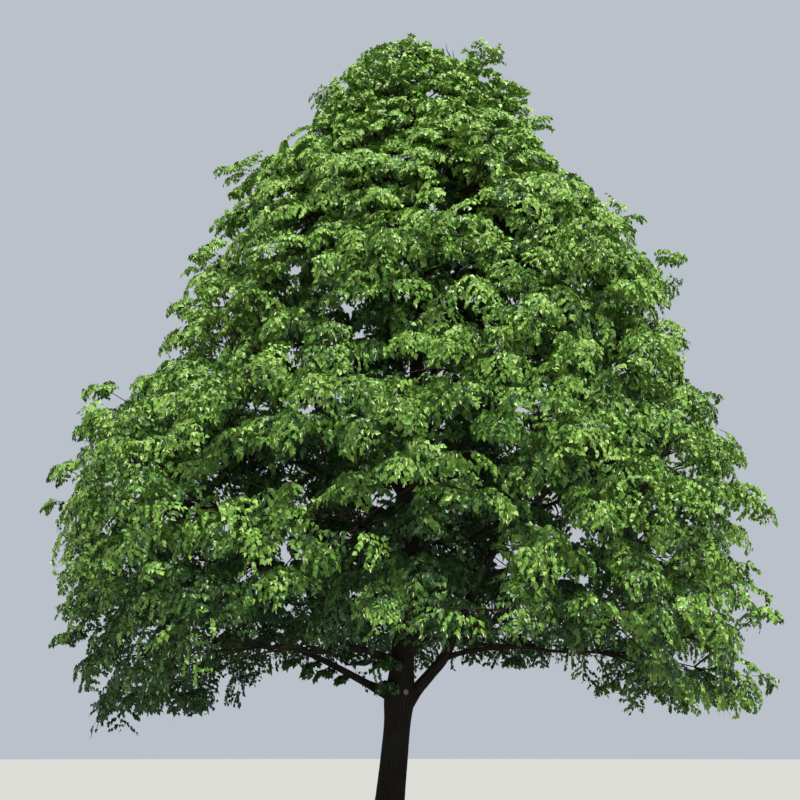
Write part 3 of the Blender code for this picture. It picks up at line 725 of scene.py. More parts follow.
@dataclass(frozen=True)
class Bark:
    """The relief of the bark, whose fissures run along a limb between rounded ridges."""

    ridge_width: float = 0.05
    depth_share: float = 0.055  # of the limb's radius
    deepest: float = 0.011
    crack_pitch: float = 0.16
    crack_share: float = 0.28  # how far a crack lowers a ridge
    fewest_ridges: int = 5
    pace: float = 0.24  # of the waves, over the limb's radius
    thinnest: float = 0.05
    fastest: float = 3.0
    ridge_roundness: float = 0.6
    crack_roundness: float = 0.35
    wander_waves: tuple[tuple[float, ...], ...] = (
        (1.1, 2, 2.3, 0),
        (0.9, 3, -4.1, 1.7),
        (0.7, 5, 9.7, 0.4),
        (0.4, 8, -17.3, 0),
    )  # strength, lobes round the limb, pace along it and start
    crack_waves: tuple[tuple[float, ...], ...] = ((1.3, 4, 3.1, 0), (0.8, 7, -5.2, 0))

    def relief(self, azimuths: Array, lengths: Array, radius: float) -> Array:
        """How high the bark stands, from 0 in a fissure to 1 on a ridge.

        Ridges are |sin| of half the azimuth times their number, pushed sideways by slow waves so
        that they wander, part and join. Cracks are |sin| of the length over their pitch, pushed
        along by the azimuth. The bark is the ridge's root, less a little at each crack.

        Args:
            azimuths: The azimuth of each point round the limb, (1, sides).
            lengths: How far along the limb each ring is, (rings, 1).
            radius: The limb's usual radius, which sets how many ridges it has.

        Returns:
            The height of the bark, (rings, sides).
        """
        ridges = max(round(2 * math.pi * radius / self.ridge_width), self.fewest_ridges)
        s = lengths * min(self.pace / max(radius, self.thinnest), self.fastest)
        wander = self.summed(self.wander_waves, azimuths, s)
        ridge = np.abs(np.sin((ridges * azimuths + wander) / 2)) ** self.ridge_roundness
        push = self.summed(self.crack_waves, azimuths, s)
        crack = np.abs(np.sin(math.pi * s / self.crack_pitch + push)) ** self.crack_roundness
        return np.clip(ridge * (1 - self.crack_share + self.crack_share * crack), 0, 1)

    @staticmethod
    def summed(waves: tuple[tuple[float, ...], ...], azimuths: Array, s: Array) -> Array:
        """The sum of strength * sin(lobes * azimuth + pace * s + start) over some waves."""
        return sum(
            strength * np.sin(lobes * azimuths + pace * s + start) for strength, lobes, pace, start in waves
        )

    def depth(self, radii: Array) -> Array:
        """How deep the fissures are on a limb of each radius."""
        return np.minimum(radii * self.depth_share, self.deepest)


@dataclass
class Limbs:
    """The trunk and the boughs: where they run, and the skin of bark over them."""

    masses: Masses
    bark: Bark = field(default_factory=Bark)
    lean_reach: float = 0.68
    lean_height: float = 5.4
    bole_radius: float = 0.24
    bole_vanishes: float = 13.2
    bole_taper: float = 0.9
    fork_swelling: float = 0.045
    fork_height: float = 2.3
    fork_spread: float = 0.28
    root_flare: float = 0.125
    flare_height: float = 0.24
    root_lobes: int = 4
    lobe_depth: float = 0.45
    first_lobe: float = 0.6
    trunk_tip: float = 11.9
    trunk_sides: int = 132
    close_rings: tuple[float, float, int] = (0, 3.2, 190)  # first and last height, and how many
    wide_rings: tuple[float, int] = (3.26, 130)  # first height, and how many up to the tip
    seen_rings: tuple[int, int] = (110, 40)  # rings, and sides, of a bough that shows
    hidden_rings: tuple[int, int] = (56, 22)
    bough_points: int = 6
    bough_share: float = 0.74
    bough_root: float = 0.4
    end_drop: float = 0.45
    root_pull: float = 0.3
    end_pull: float = 0.25
    tip_radius: float = 0.028
    collar: float = 0.55
    collar_length: float = 0.16
    seen: tuple[SeenBough, ...] = (
        SeenBough(
            "bough_left", "skirt_4", (0.12, 0, 2.3), (-0.9, -0.05, 2.8), (-1.35, -0.2, 3.2),
            (-1, -0.2, 2.95), 0.36, 8, (0.066, 0.028),
        ),
        SeenBough(
            "bough_right", "middle_1", (0.95, -0.05, 2.93), (1.25, -0.06, 3.6), (1.9, 0.05, 5.3),
            (1.6, 0.1, 4.6), 0.3, 6, (0.1, 0.034), ((0.3, 0, 2.16), (0.5, -0.02, 2.4), (0.73, -0.04, 2.66)),
        ),
        SeenBough(
            "bough_right_fork", "skirt_1", (0.93, -0.045, 2.9), (1.4, -0.12, 3.08), (2.3, -0.3, 3.12),
            (1.4, -0.2, 3.05), 0.34, 7, (0.04, 0.026),
        ),
    )

    def middle(self, heights: Array | float) -> Array:
        """The middle of the trunk at each height: it leans towards +X, and straightens."""
        heights = np.asarray(heights, float)
        lean = self.lean_reach * (1 - np.exp(-heights / self.lean_height))
        return np.stack((lean, np.zeros_like(heights), heights), axis=-1)

    def radius(self, heights: Array | float) -> Array:
        """The trunk's radius at each height: a taper, with a swelling under the fork."""
        heights = np.asarray(heights, float)
        taper = self.bole_radius * (1 - heights / self.bole_vanishes) ** self.bole_taper
        swelling = np.exp(-(((heights - self.fork_height) / self.fork_spread) ** 2))
        return taper + self.fork_swelling * swelling

    def flare(self, heights: Array, azimuths: Array) -> Array:
        """How far the root flare stands out, in lobes that run into the ground."""
        lobes = 1 + self.lobe_depth * np.cos(self.root_lobes * azimuths + self.first_lobe)
        return self.root_flare * np.exp(-heights / self.flare_height) * lobes

    def taper(self, path: Array, root_radius: float, tip_radius: float) -> Array:
        """A limb's radius along its path: an even taper, with a collar at its root."""
        along = path_lengths(path)
        even = root_radius + (tip_radius - root_radius) * along / along[-1]
        return even * (1 + self.collar * np.exp(-along / self.collar_length))

    @staticmethod
    def aimed(points: Array, heart: Array) -> Array:
        """The points, with the last stretch turned to the heart, so that a stem carries on."""
        stretch = np.linalg.norm(points[-1] - points[-2])
        before_end = points[-1] - unit(heart - points[-1]) * stretch
        return np.vstack((points[:-2], before_end, points[-1]))

    def ordinary(self, name: str, tier: Tier, number: int, heart: Array) -> Limb:
        """A bough that leaves the trunk below its mass and levels out towards it.

        Args:
            name: The bough's name.
            tier: The tier of its mass.
            number: Which mass of the tier it carries.
            heart: The middle of that mass.

        Returns:
            The bough.
        """
        low, high = tier.roots
        order = (number * 3) % tier.masses
        root_height = low + (high - low) * order / max(tier.masses - 1, 1)
        start = self.middle(root_height)
        way = (heart - start) * (1, 1, 0)
        reach = float(np.linalg.norm(way))
        way = unit(way)
        start = start + way * (self.bough_root * float(self.radius(root_height)))
        end = start + (heart - start) * self.bough_share
        end[2] = heart[2] - (1 - self.bough_share) * self.end_drop * (heart[2] - start[2])
        first = start + (way + UP * tier.rise) * (self.root_pull * reach)
        second = end - unit(heart - end) * (self.end_pull * reach)
        curve = bezier(np.stack((start, first, second, end)), np.linspace(0, 1, self.bough_points))
        path = self.aimed(curve, heart)
        return Limb(name, path, self.taper(path, tier.radius, self.tip_radius))

    def shown(self, seen: SeenBough, heart: Array) -> Limb:
        """A bough that shows under the crown, along its own curve."""
        end = heart + (np.array(seen.before) - heart) * seen.short
        pulls = np.array((seen.root, seen.first, seen.second, end))
        path = bezier(pulls, np.linspace(0, 1, seen.points))
        if seen.foot:
            path = np.vstack((np.array(seen.foot), path))
        path = self.aimed(path, heart)
        return Limb(seen.name, path, self.taper(path, *seen.radii))

    def boughs(self, hearts: dict[str, Array]) -> dict[str, Limb]:
        """{mass: the bough that carries it}, for every mass but the top one."""
        found = {seen.mass: self.shown(seen, hearts[seen.mass]) for seen in self.seen}
        for tier in self.masses.tiers:
            for number in range(tier.masses):
                mass = f"{tier.name}_{number + 1}"
                if mass not in found:
                    found[mass] = self.ordinary(f"bough_{mass}", tier, number, hearts[mass])
        return found

    def skin(self, path: Array, radii: Array, sides: int, usual: float) -> tuple[Array, Array, Array]:
        """A limb's skin of bark.

        Each ring stands square to the path, and its radius is the limb's, less the depth of the
        fissures times how far the bark falls short of its ridges.

        Args:
            path: The middle of each ring, (rings, 3).
            radii: The radius of each ring, (rings,).
            sides: How many points a ring has.
            usual: The radius that sets the number of ridges.

        Returns:
            Points, triangles, and the height of the bark at each point.
        """
        azimuths = np.linspace(0, 2 * np.pi, sides, endpoint=False)[None]
        relief = self.bark.relief(azimuths, path_lengths(path)[:, None], usual)
        reach = radii[:, None] - (1 - relief) * self.bark.depth(radii)[:, None]
        ways = unit(np.gradient(path, axis=0))
        over = unit(np.cross(ways, np.cross(UP, ways[len(ways) // 2])))
        across = np.cross(over, ways)
        spokes = np.cos(azimuths)[..., None] * across[:, None] + np.sin(azimuths)[..., None] * over[:, None]
        points, faces = lofted(path[:, None] + reach[..., None] * spokes)
        return points, faces, np.concatenate((relief.ravel(), (1.0, 1.0)))

    def trunk(self) -> tuple[Array, Array, Array]:
        """The trunk's skin, from its flat cut at the ground to its tip, with level rings.

        Rings stand close below the crown and wider apart inside it.

        Returns:
            Points, triangles, and the height of the bark at each point.
        """
        wide_foot, wide_count = self.wide_rings
        wide = np.linspace(wide_foot, self.trunk_tip, wide_count)
        heights = np.concatenate((np.linspace(*self.close_rings), wide))[:, None]
        azimuths = np.linspace(0, 2 * np.pi, self.trunk_sides, endpoint=False)[None]
        relief = self.bark.relief(azimuths, heights, self.bole_radius)
        radii = self.radius(heights)
        reach = radii + self.flare(heights, azimuths) - (1 - relief) * self.bark.depth(radii)
        spokes = np.stack((np.cos(azimuths), np.sin(azimuths), np.zeros_like(azimuths)), axis=-1)
        points, faces = lofted(self.middle(heights[:, 0])[:, None] + reach[..., None] * spokes)
        return points, faces, np.concatenate((relief.ravel(), (1.0, 1.0)))

    def dress(self, boughs: dict[str, Limb], material: bpy.types.Material) -> None:
        """Makes the trunk's skin, and the boughs' skins as one piece."""
        points, faces, relief = self.trunk()
        trunk = make_piece("bark_trunk", points, faces, [material], ["trunk"], BARK)
        self.note_relief(trunk, relief)
        seen = {bough.name for bough in self.seen}
        skins = []
        for limb in boughs.values():
            rings, sides = self.seen_rings if limb.name in seen else self.hidden_rings
            path = spline(limb.path, rings)
            radii = np.interp(path_lengths(path), path_lengths(limb.path), limb.radii)
            skins.append(self.skin(path, radii, sides, float(radii.mean())))
        points, faces = joined([skin[:2] for skin in skins])
        names = [limb.name for limb in boughs.values()]
        piece = make_piece("bark_boughs", points, faces, [material], names, BARK)
        self.note_relief(piece, np.concatenate([skin[2] for skin in skins]))

    @staticmethod
    def note_relief(piece: bpy.types.Object, relief: Array) -> None:
        """Keeps the height of the bark at each point of a piece, for its finish."""
        noted = piece.data.attributes.new("relief", "FLOAT", "POINT")
        noted.data.foreach_set("value", relief.astype(np.float32))


# ---------------------------------------------------------------- fans


class Rows:
    """What dataclasses share that hold one array for each fact, with a row for each thing."""

    def chosen(self, mask: Array) -> Self:
        """Some of these rows."""
        return type(self)(*(values[mask] for values in vars(self).values()))

    def with_more(self, others: Self) -> Self:
        """These rows and some others."""
        pairs = zip(vars(self).values(), vars(others).values())
        return type(self)(*(np.concatenate(pair) for pair in pairs))


@dataclass(frozen=True)
class Fans(Rows):
    """The fans of the crown."""

    sites: Array
    faces: Array
    rolls: Array
    sizes: Array
    tips: Array  # where a sprig reaches, or not a number
    owners: Array

    @staticmethod
    def untipped(sites: Array, faces: Array, rolls: Array, sizes: Array, owners: Array) -> "Fans":
        """Fans that aren't sprigs, so that none has a tip to reach."""
        return Fans(sites, faces, rolls, sizes, np.full_like(sites, np.nan), owners)


@dataclass(frozen=True)
class FanRule:
    """How fans are spread over the crown's leafy shell."""

    crown: Crown
    masses: Masses
    sprig_tips: tuple[tuple[float, float], ...] = (
        (0.4, 13.55),
        (1.95, 13.25),
        (-1.2, 12.4),
        (2.75, 12.0),
        (-2.85, 11.15),
        (4.35, 10.35),
        (4.95, 9.15),
        (-3.4, 9.45),
        (-3.75, 7.75),
        (-4.9, 6.85),
        (5.45, 7.1),
        (6.05, 5.55),
        (-5.5, 5.3),
        (-5.2, 3.7),
        (6.25, 3.9),
        (-4.6, 2.1),
        (6.25, 2.5),
    )  # x and height of the sprigs that stand out of the outline
    round_sprigs: int = 22
    round_reach: float = 0.25
    golden_angle: float = 137.5
    round_top: float = 12.4
    round_foot: float = 2.6
    side_on: float = 0.45
    sprig_length: float = 0.9
    sprig_sway: float = 0.35
    azimuths: tuple[float, ...] = (90, 234, 18, 162, 306)
    roll: float = 36
    spacing: float = 0.62
    spacing_by_depth: float = 0.25
    shallowest: float = 0.45
    deepest: float = 1.6
    depth_step: float = 0.3
    darts: int = 26000
    border: float = 0.2
    blade_length: float = 1.14
    size_spread: float = 0.1
    shift: float = 0.4  # of the darts' middle towards +X

    def sizes(self, rng: random.Random, height: float) -> list[float]:
        """How large each twig of a fan at a height is, against the usual one."""
        fine = float(self.crown.fineness(height))
        return [fine * (1 + rng.uniform(-self.size_spread, self.size_spread)) for _ in self.azimuths]

    def sprigs(self) -> Array:
        """Where the tips of all the sprigs reach: those in the outline, then those all round."""
        tips = [
            (x, self.sprig_sway * math.sin(self.golden_angle * number), height)
            for number, (x, height) in enumerate(self.sprig_tips)
        ]
        for number in range(self.round_sprigs):
            share = math.sqrt((number + 0.5) / self.round_sprigs)
            height = self.round_top + (self.round_foot - self.round_top) * share
            azimuth = math.radians(self.golden_angle * number)
            if abs(math.sin(azimuth)) >= self.side_on:
                middle, half = self.crown.level(height)
                reach = half + self.round_reach
                tips.append((middle + reach * math.cos(azimuth), reach * math.sin(azimuth), height))
        return np.array(tips)

    def spread(self, hearts: Array) -> Fans:
        """Every fan of the crown.

        Sprigs come first. Then darts are thrown at the crown and taken layer by layer from outside,
        and one sticks where it isn't too near another. Fans stand further apart the deeper they
        are, and none is in a hollow or near the border of its mass's space.

        Args:
            hearts: The middles of the masses, (n, 3).

        Returns:
            The fans.
        """
        rng = random.Random(SEED)
        tips = self.sprigs()
        faces = self.crown.outward(tips)
        reach = self.sprig_length * self.blade_length * self.crown.fineness(tips[:, 2])
        sites = list(tips - faces * reach[:, None])
        sizes = [self.sizes(rng, tip[2]) for tip in tips]
        rolls = [0.0] * len(tips)
        landed = self.landed(rng, hearts)
        for dart in landed:
            fine = float(self.crown.fineness(dart[2]))
            spacing = fine * (self.spacing + self.spacing_by_depth * (dart[3] - self.shallowest))
            if squared(np.array(sites) - dart[:3]).min() < spacing * spacing:
                continue
            sites.append(dart[:3])
            rolls.append(rng.uniform(-self.roll, self.roll))
            sizes.append(self.sizes(rng, dart[2]))
        placed = np.array(sites)
        ways = self.crown.outward(placed)
        ways[: len(tips)] = faces
        ends = np.full_like(placed, np.nan)
        ends[: len(tips)] = tips
        owners = self.masses.owners(placed, hearts)
        return Fans(placed, ways, np.array(rolls), np.array(sizes), ends, owners)

    def landed(self, rng: random.Random, hearts: Array) -> Array:
        """The darts that land where a fan may grow, in order of depth, each with its depth last."""
        widest = max(half for _, _, half in self.crown.rows)
        low, high = self.crown.rows[0][0], self.crown.rows[-1][0]
        darts = np.array([
            (rng.uniform(-widest, widest) + self.shift, rng.uniform(-widest, widest), rng.uniform(low, high))
            for _ in range(self.darts)
        ])
        depths = self.crown.depth(darts)
        fine = self.crown.fineness(darts[:, 2])
        owners = self.masses.owners(darts, hearts)
        within = self.masses.inside_by(darts, owners, hearts) > self.border * fine
        good = (depths > self.shallowest * fine) & (depths < self.deepest) & within
        good &= ~self.crown.in_hollow(darts)
        order = np.argsort(np.round(depths / self.depth_step), kind="stable")
        return np.column_stack((darts, depths))[order][good[order]]


# ---------------------------------------------------------------- twigs


@dataclass(frozen=True)
class Tuft:
    """A leafy fan at a place of its own: on a limb, out of the outline or behind a hollow."""

    site: Place
    faces: Place
    size: float
    start: Place | None = None  # on a limb, or it forks off the nearest arm
    light: float = 0.0  # painted sunlight: how much lighter its tones are than the crown's are there


@dataclass(frozen=True)
class Twigs(Rows):
    """The twigs of all fans, and where leaves may join them."""

    paths: Array
    across: Array
    owners: Array
    sizes: Array
    centres: Array  # the middle of the dome that each is in
    # painted sunlight: how much lighter each twig's tones are
    lights: Array
    free: Array  # whether it may leave the crown
    shares: Array  # how far along it leaves may join
    places: Array
    leafy: Array  # whether one may grow there


@dataclass
class Sprays:
    """Everything finer than an arm, as arrays: twigs, their side shoots, and where leaves join."""

    twig_paths: Array  # (twigs, rings, 3)
    twig_across: Array
    twig_owner: Array
    twig_insets: Array  # how far inside the outline each twig is
    twig_lights: Array  # painted sunlight: how much lighter its tones are than the crown's are there
    shoot_paths: Array
    shoot_across: Array
    shoot_owner: Array
    stations: Array  # where leaves join
    ways: Array  # the way that the wood runs there
    sides: Array  # which side of the wood the leaf is on
    uppers: Array  # the way that the spray's upper side faces there
    shoots: Array  # the number of the shoot that carries the leaf
    twigs: Array  # the number of that shoot's twig
    owners: Array  # the mass that it belongs to


@dataclass
class Growth:
    """The rule that grows arms, twigs and shoots on from the stems."""

    crown: Crown
    rule: FanRule
    masses: Masses
    rng: np.random.Generator
    first_arm: float = 0.22
    arm_root: float = 0.02
    arm_radii: tuple[float, float] = (0.016, 0.006)
    arm_rings: int = 6
    aside_weight: float = 0.5  # how much a fan aside of the stem counts as further back
    arm_along: float = 1.5  # how much an arm sets off along the stem, against straight to its end
    arm_pull: float = 0.3
    arm_lift: float = 0.3
    apex_reach: float = 0.5  # how far past its site a fan's dome has its top
    fan_feet: tuple[float, ...] = (0.0, 0.06, 0.12, 0.18, 0.24)
    open_heights: tuple[float, float] = (2.5, 3.6)
    open_shares: tuple[tuple[float, ...], ...] = ((-1.5, 2.5), (0.62, 0.35))  # x, and how many are left out
    more_darts: int = 60000
    more_insets: tuple[float, float] = (0.02, 3.0)
    more_layer: float = 0.3
    more_gap: float = 0.6
    gap_by_inset: float = 0.28
    # how far apart fans stand, against the usual, at heights
    gap_by_height: tuple[tuple[float, ...], ...] = ((3.0, 6.0, 9.0, 11.5), (1.16, 1.12, 0.97, 0.68))
    gap_spread: float = 0.3
    core_fans: int = 34
    core_heights: tuple[float, float] = (3.6, 10.0)
    core_radius: float = 1.2
    hollow_grown: tuple[float, float] = (1.25, 1.45)  # for leaves, and for fans between the rule's
    swell: float = 0.2  # how far waves carry the outline in and out
    rag: float = 0.16  # how far they carry the skirts up
    fringe: float = 0.05
    more_rise: float = 0.3  # least height above the underside
    size_spread: float = 0.3
    fork_share: float = 0.55
    tufts: tuple[Tuft, ...] = (
        Tuft((4.4, 0, 9.35), (1, 0, 0.8), 0.8),
        Tuft((4.85, 0, 9.65), (1, 0, 1), 0.55),
        Tuft((5.75, 0, 6.35), (1, 0, 0.3), 0.55),
        Tuft((6.15, 0, 5.4), (1, 0, 0.2), 0.55),
        Tuft((6.2, 0, 3.7), (1, 0, 0), 0.5),
        Tuft((5.35, -0.3, 2.35), (1, -0.3, -0.2), 0.7),
        Tuft((5.75, -0.1, 2.3), (1, 0, -0.2), 0.6),
        Tuft((2.3, 0, 12.5), (0.7, 0, 1), 0.45),
        Tuft((-2.5, 0, 10.75), (-1, 0, 0.2), 0.5),
        Tuft((-3.15, 0, 9.65), (-1, 0, 0.3), 0.5),
        Tuft((-3.5, 0, 8.8), (-1, 0, 0.3), 0.5),
        Tuft((-4.75, 0, 7.4), (-1, 0, 0.5), 0.55),
        Tuft((-4.95, -0.1, 6.7), (-1, 0, 0.3), 0.5),
        Tuft((-5.35, 0, 6.05), (-1, 0, 0.2), 0.55),
        Tuft((-5.1, -0.1, 3.3), (-1, 0, 0), 0.7),
        Tuft((-4.7, -0.3, 2.9), (-1, -0.3, 0), 0.8),
        Tuft((-3.0, -0.4, 2.3), (0.2, -1, -0.2), 0.7),
        Tuft((0.0, -0.6, 3.5), (0, -1, 0.2), 0.8),
        Tuft((-1.2, 0.9, 3.5), (0, -1, 0), 0.9),
        # These two, under the fork, have tones made lighter as painted sunlight.
        Tuft((0.02, -0.32, 2.52), (-0.3, -0.7, 0.4), 0.4, (0.16, -0.14, 2.42), 3.4),
        Tuft((-0.02, -0.42, 2.9), (-0.2, -0.8, 0.6), 0.6, (0.16, -0.1, 2.62), 4.0),
        Tuft((-0.72, -0.12, 2.6), (-0.6, -0.6, 0.2), 0.25, (-0.6, -0.03, 2.66)),
        Tuft((-1.0, -0.15, 2.7), (-0.6, -0.6, 0.2), 0.25, (-0.85, -0.05, 2.78)),
        Tuft((-1.25, -0.2, 2.75), (-0.6, -0.6, 0.2), 0.3, (-1.0, -0.07, 2.87)),
        Tuft((-1.5, -0.3, 2.85), (-0.6, -0.6, 0.2), 0.35, (-1.3, -0.18, 3.12)),
        Tuft((2.05, -0.3, 2.86), (0.6, -0.6, 0), 0.3, (1.9, -0.24, 3.11)),
    )
    tilt: float = 0.7  # how far a dome leans out of the crown
    lean: float = 0.32  # how far it leans any other way
    sprig_back: float = 0.36  # how far before a sprig's tip, and above it, its dome has its top
    sprig_rise: float = 0.06
    sprig_size: float = 1.35
    twig_length: float = 0.5
    twig_rise: float = 0.25
    twig_droop: float = 0.64
    twig_sag: float = 0.12
    # how far the crown grows upright, at heights
    upright_by_height: tuple[tuple[float, ...], ...] = ((9.0, 12.0), (0.0, 1.0))
    top_rise: float = 0.8  # how much more twigs rise where the crown grows upright
    top_stiffness: float = 0.6  # and how much less they droop
    forward: float = 0.25
    sprig_forward: float = 0.6
    dome_radius: float = 0.45
    twig_astray: float = 0.25
    twig_spread: float = 0.2
    furthest_foot: float = 0.85
    leafy_stretch: tuple[float, float] = (0.25, 1.0)
    twig_way_step: float = 0.1
    twig_radius: float = 0.005
    twig_rings: int = 4
    twig_kept: float = 0.6  # the least share of a twig that is where leaves may be
    shoots: int = 8
    shoot_angle: float = 52
    shoot_reach: float = 0.25
    shoot_bend: float = 0.3
    first_shoot: float = 0.12
    shoot_stretch: float = 0.86
    shoot_shift: float = 0.03
    shoot_bounds: tuple[float, float] = (0.05, 0.98)
    way_steps: tuple[float, float] = (0.02, 0.06)
    angle_spread: float = 14
    profile_start: float = 0.22
    profile_stretch: float = 0.66
    profile_power: float = 0.8
    shoot_spread: float = 0.25
    shoot_tilt: float = 0.3
    shoot_radius: float = 0.003
    shoot_deepest: float = 0.8  # how far inside the outline the wood of shoots is still made
    leaf_pitch: float = 0.0355
    leaves_on_shoot: int = 9
    first_leaf: float = 0.9  # in steps of the pitch
    last_leaf: float = 1.1  # in lengths of the shoot
    leaves_on_twig: int = 10
    reach: tuple[Place, Place] = ((-5.75, -5.58, 0.0), (6.46, 5.66, 13.8))  # nothing grows beyond it
    # how far past the outline leaves may reach, at heights
    tolerance_by_height: tuple[tuple[float, ...], ...] = ((9.0, 10.5, 11.5), (0.19, 0.12, -0.1))

    def arms(self, fans: Fans, feet: Array, hearts: Array) -> Array:
        """The paths of the arms, which leave a mass's stem in turn and reach its fans.

        Arms for the fans furthest forward leave nearest to the stem's end. An arm sets off partly
        along the stem and arrives facing the way that its fan does.

        Args:
            fans: The fans.
            feet: Where each mass's stem starts, (masses, 3).
            hearts: Where it ends, (masses, 3).

        Returns:
            The paths, (fans, rings, 3).
        """
        ways = unit(hearts - feet)[fans.owners]
        lengths = np.linalg.norm(hearts - feet, axis=1)[fans.owners]
        offsets = fans.sites - feet[fans.owners]
        forward = (offsets * ways).sum(axis=1)
        aside = np.linalg.norm(offsets - forward[:, None] * ways, axis=1)
        wanted = forward - self.aside_weight * aside
        shares = np.ones(len(wanted))
        for owner in range(len(hearts)):
            own = np.flatnonzero(fans.owners == owner)
            ranks = np.argsort(np.argsort(wanted[own]))
            shares[own] = self.first_arm + (1 - self.first_arm) * ranks / max(len(own) - 1, 1)
        starts = feet[fans.owners] + ways * (shares * lengths - self.arm_root)[:, None]
        return self.arched(starts, self.apexes(fans), ways, fans.faces)

    def arched(self, starts: Array, ends: Array, ways: Array, faces: Array) -> Array:
        """Paths that set off partly one way and arrive facing another.

        Args:
            starts: Where they start, (n, 3).
            ends: Where they end.
            ways: The way that each sets off.
            faces: The way that each arrives.

        Returns:
            The paths, (n, rings, 3).
        """
        spans = np.linalg.norm(ends - starts, axis=1, keepdims=True)
        straight = unit(ends - starts)
        first = starts + unit(self.arm_along * unit(ways) + straight) * spans * self.arm_pull
        second = ends - unit(faces + straight + self.arm_lift * UP) * spans * self.arm_pull
        pulls = np.stack((starts, first, second, ends), axis=1)
        return bezier(pulls, np.linspace(0, 1, self.arm_rings))

    def apexes(self, fans: Fans) -> Array:
        """Where the arm of each fan ends, at the top of its dome."""
        past = fans.sites + fans.faces * (self.apex_reach * fans.sizes[:, :1])
        near = fans.tips - fans.faces * self.sprig_back + UP * self.sprig_rise
        return np.where(np.isnan(fans.tips), past, near)

    def opened(self, fans: Fans) -> Fans:
        """The fans without some of the lowest, where the sky shows through the skirts."""
        return fans.chosen(~self.left_open(self.apexes(fans)) | np.isfinite(fans.tips[:, 0]))

    def left_open(self, places: Array) -> Array:
        """True by chance for places where the sky shows through the skirts, most often towards -X."""
        low, high = self.open_heights
        within = (places[:, 2] > low) & (places[:, 2] < high)
        return within & (self.rng.random(len(places)) < np.interp(places[:, 0], *self.open_shares))

    def more_fans(self, fans: Fans, arm_paths: Array) -> tuple[Fans, Array]:
        """Fans between the rule's own, each on an arm that forks off its neighbour's.

        Darts are taken layer by layer from the outline inwards, and one sticks where it isn't too
        near the top of another fan's dome.

        Args:
            fans: The rule's fans.
            arm_paths: The paths of their arms.

        Returns:
            The other fans, and the paths of their arms.
        """
        core = self.core()
        widest = max(half for _, _, half in self.crown.rows) + self.rule.shift
        low = np.array((-widest, -widest, self.crown.rows[0][0]))
        high = np.array((widest, widest, self.crown.rows[-1][0]))
        darts = self.rng.uniform(low, high, (self.more_darts, 3)) + (self.rule.shift, 0, 0)
        insets = self.inset(darts)
        good = (insets > self.more_insets[0]) & (insets < self.more_insets[1])
        good &= self.height_inside(darts) > self.more_rise
        good &= ~self.left_open(darts)
        good &= ~self.crown.in_hollow(darts, self.hollow_grown[1])
        darts, insets = darts[good], insets[good]
        order = np.argsort(np.round(insets / self.more_layer), kind="stable")
        first = len(fans.sites)
        count = first + len(core)
        taken = np.concatenate((self.apexes(fans), core, darts))
        gaps = self.crown.fineness(darts[:, 2]) * (self.more_gap + self.gap_by_inset * np.maximum(insets, 0))
        gaps = gaps * np.interp(darts[:, 2], *self.gap_by_height)
        gaps = gaps * self.rng.uniform(1 - self.gap_spread, 1 + self.gap_spread, len(darts))
        for number in order:
            gap = gaps[number]
            if squared(taken[:count] - darts[number]).min() > gap * gap:
                taken[count] = darts[number]
                count += 1
        placed = taken[first:count]
        forks, nearest = self.forks(placed, arm_paths)
        sizes = self.crown.fineness(placed[:, 2:])
        faces = self.crown.outward(placed)
        more = Fans.untipped(
            placed - faces * (self.apex_reach * sizes),
            faces,
            self.rng.uniform(-self.rule.roll, self.rule.roll, len(placed)),
            sizes * np.ones((1, fans.sizes.shape[1])),
            fans.owners[nearest],
        )
        ways = arm_paths[nearest, -1] - arm_paths[nearest, -3]
        return more, self.arched(forks, placed, ways, faces)

    def core(self) -> Array:
        """The tops of the domes that close the crown's middle, up a spiral round the trunk."""
        angles = np.radians(self.rule.golden_angle) * np.arange(self.core_fans)
        heights = np.linspace(*self.core_heights, self.core_fans)
        middles, _ = self.crown.row(heights)
        round_trunk = self.core_radius * np.stack((np.cos(angles), np.sin(angles)), axis=-1)
        return np.column_stack((middles + round_trunk[:, 0], round_trunk[:, 1], heights))

    def forks(self, places: Array, arm_paths: Array) -> tuple[Array, Array]:
        """Where the arm nearest to each place forks, and the number of that arm."""
        forks = self.along(arm_paths, np.full((len(arm_paths), 1), self.fork_share))[:, 0]
        nearest = np.argmin(((places[:, None] - forks[None]) ** 2).sum(axis=-1), axis=1)
        return forks[nearest], nearest

    def tuft_fans(self, fans: Fans, arm_paths: Array) -> tuple[Fans, Array]:
        """The tufts as fans, and the paths of their arms.

        Args:
            fans: The fans that the arms end in.
            arm_paths: The paths of the arms that the tufts without a limb fork off.

        Returns:
            The tufts' fans, and the paths of their arms.
        """
        sites = np.array([tuft.site for tuft in self.tufts], float)
        faces = unit(np.array([tuft.faces for tuft in self.tufts], float))
        sizes = np.array([[tuft.size] for tuft in self.tufts]) * np.ones((1, fans.sizes.shape[1]))
        forks, nearest = self.forks(sites, arm_paths)
        starts = np.array([tuft.start or fork for tuft, fork in zip(self.tufts, forks.tolist())])
        tufts = Fans.untipped(sites, faces, np.zeros(len(sites)), sizes, fans.owners[nearest])
        return tufts, self.arched(starts, sites, sites - starts, faces)

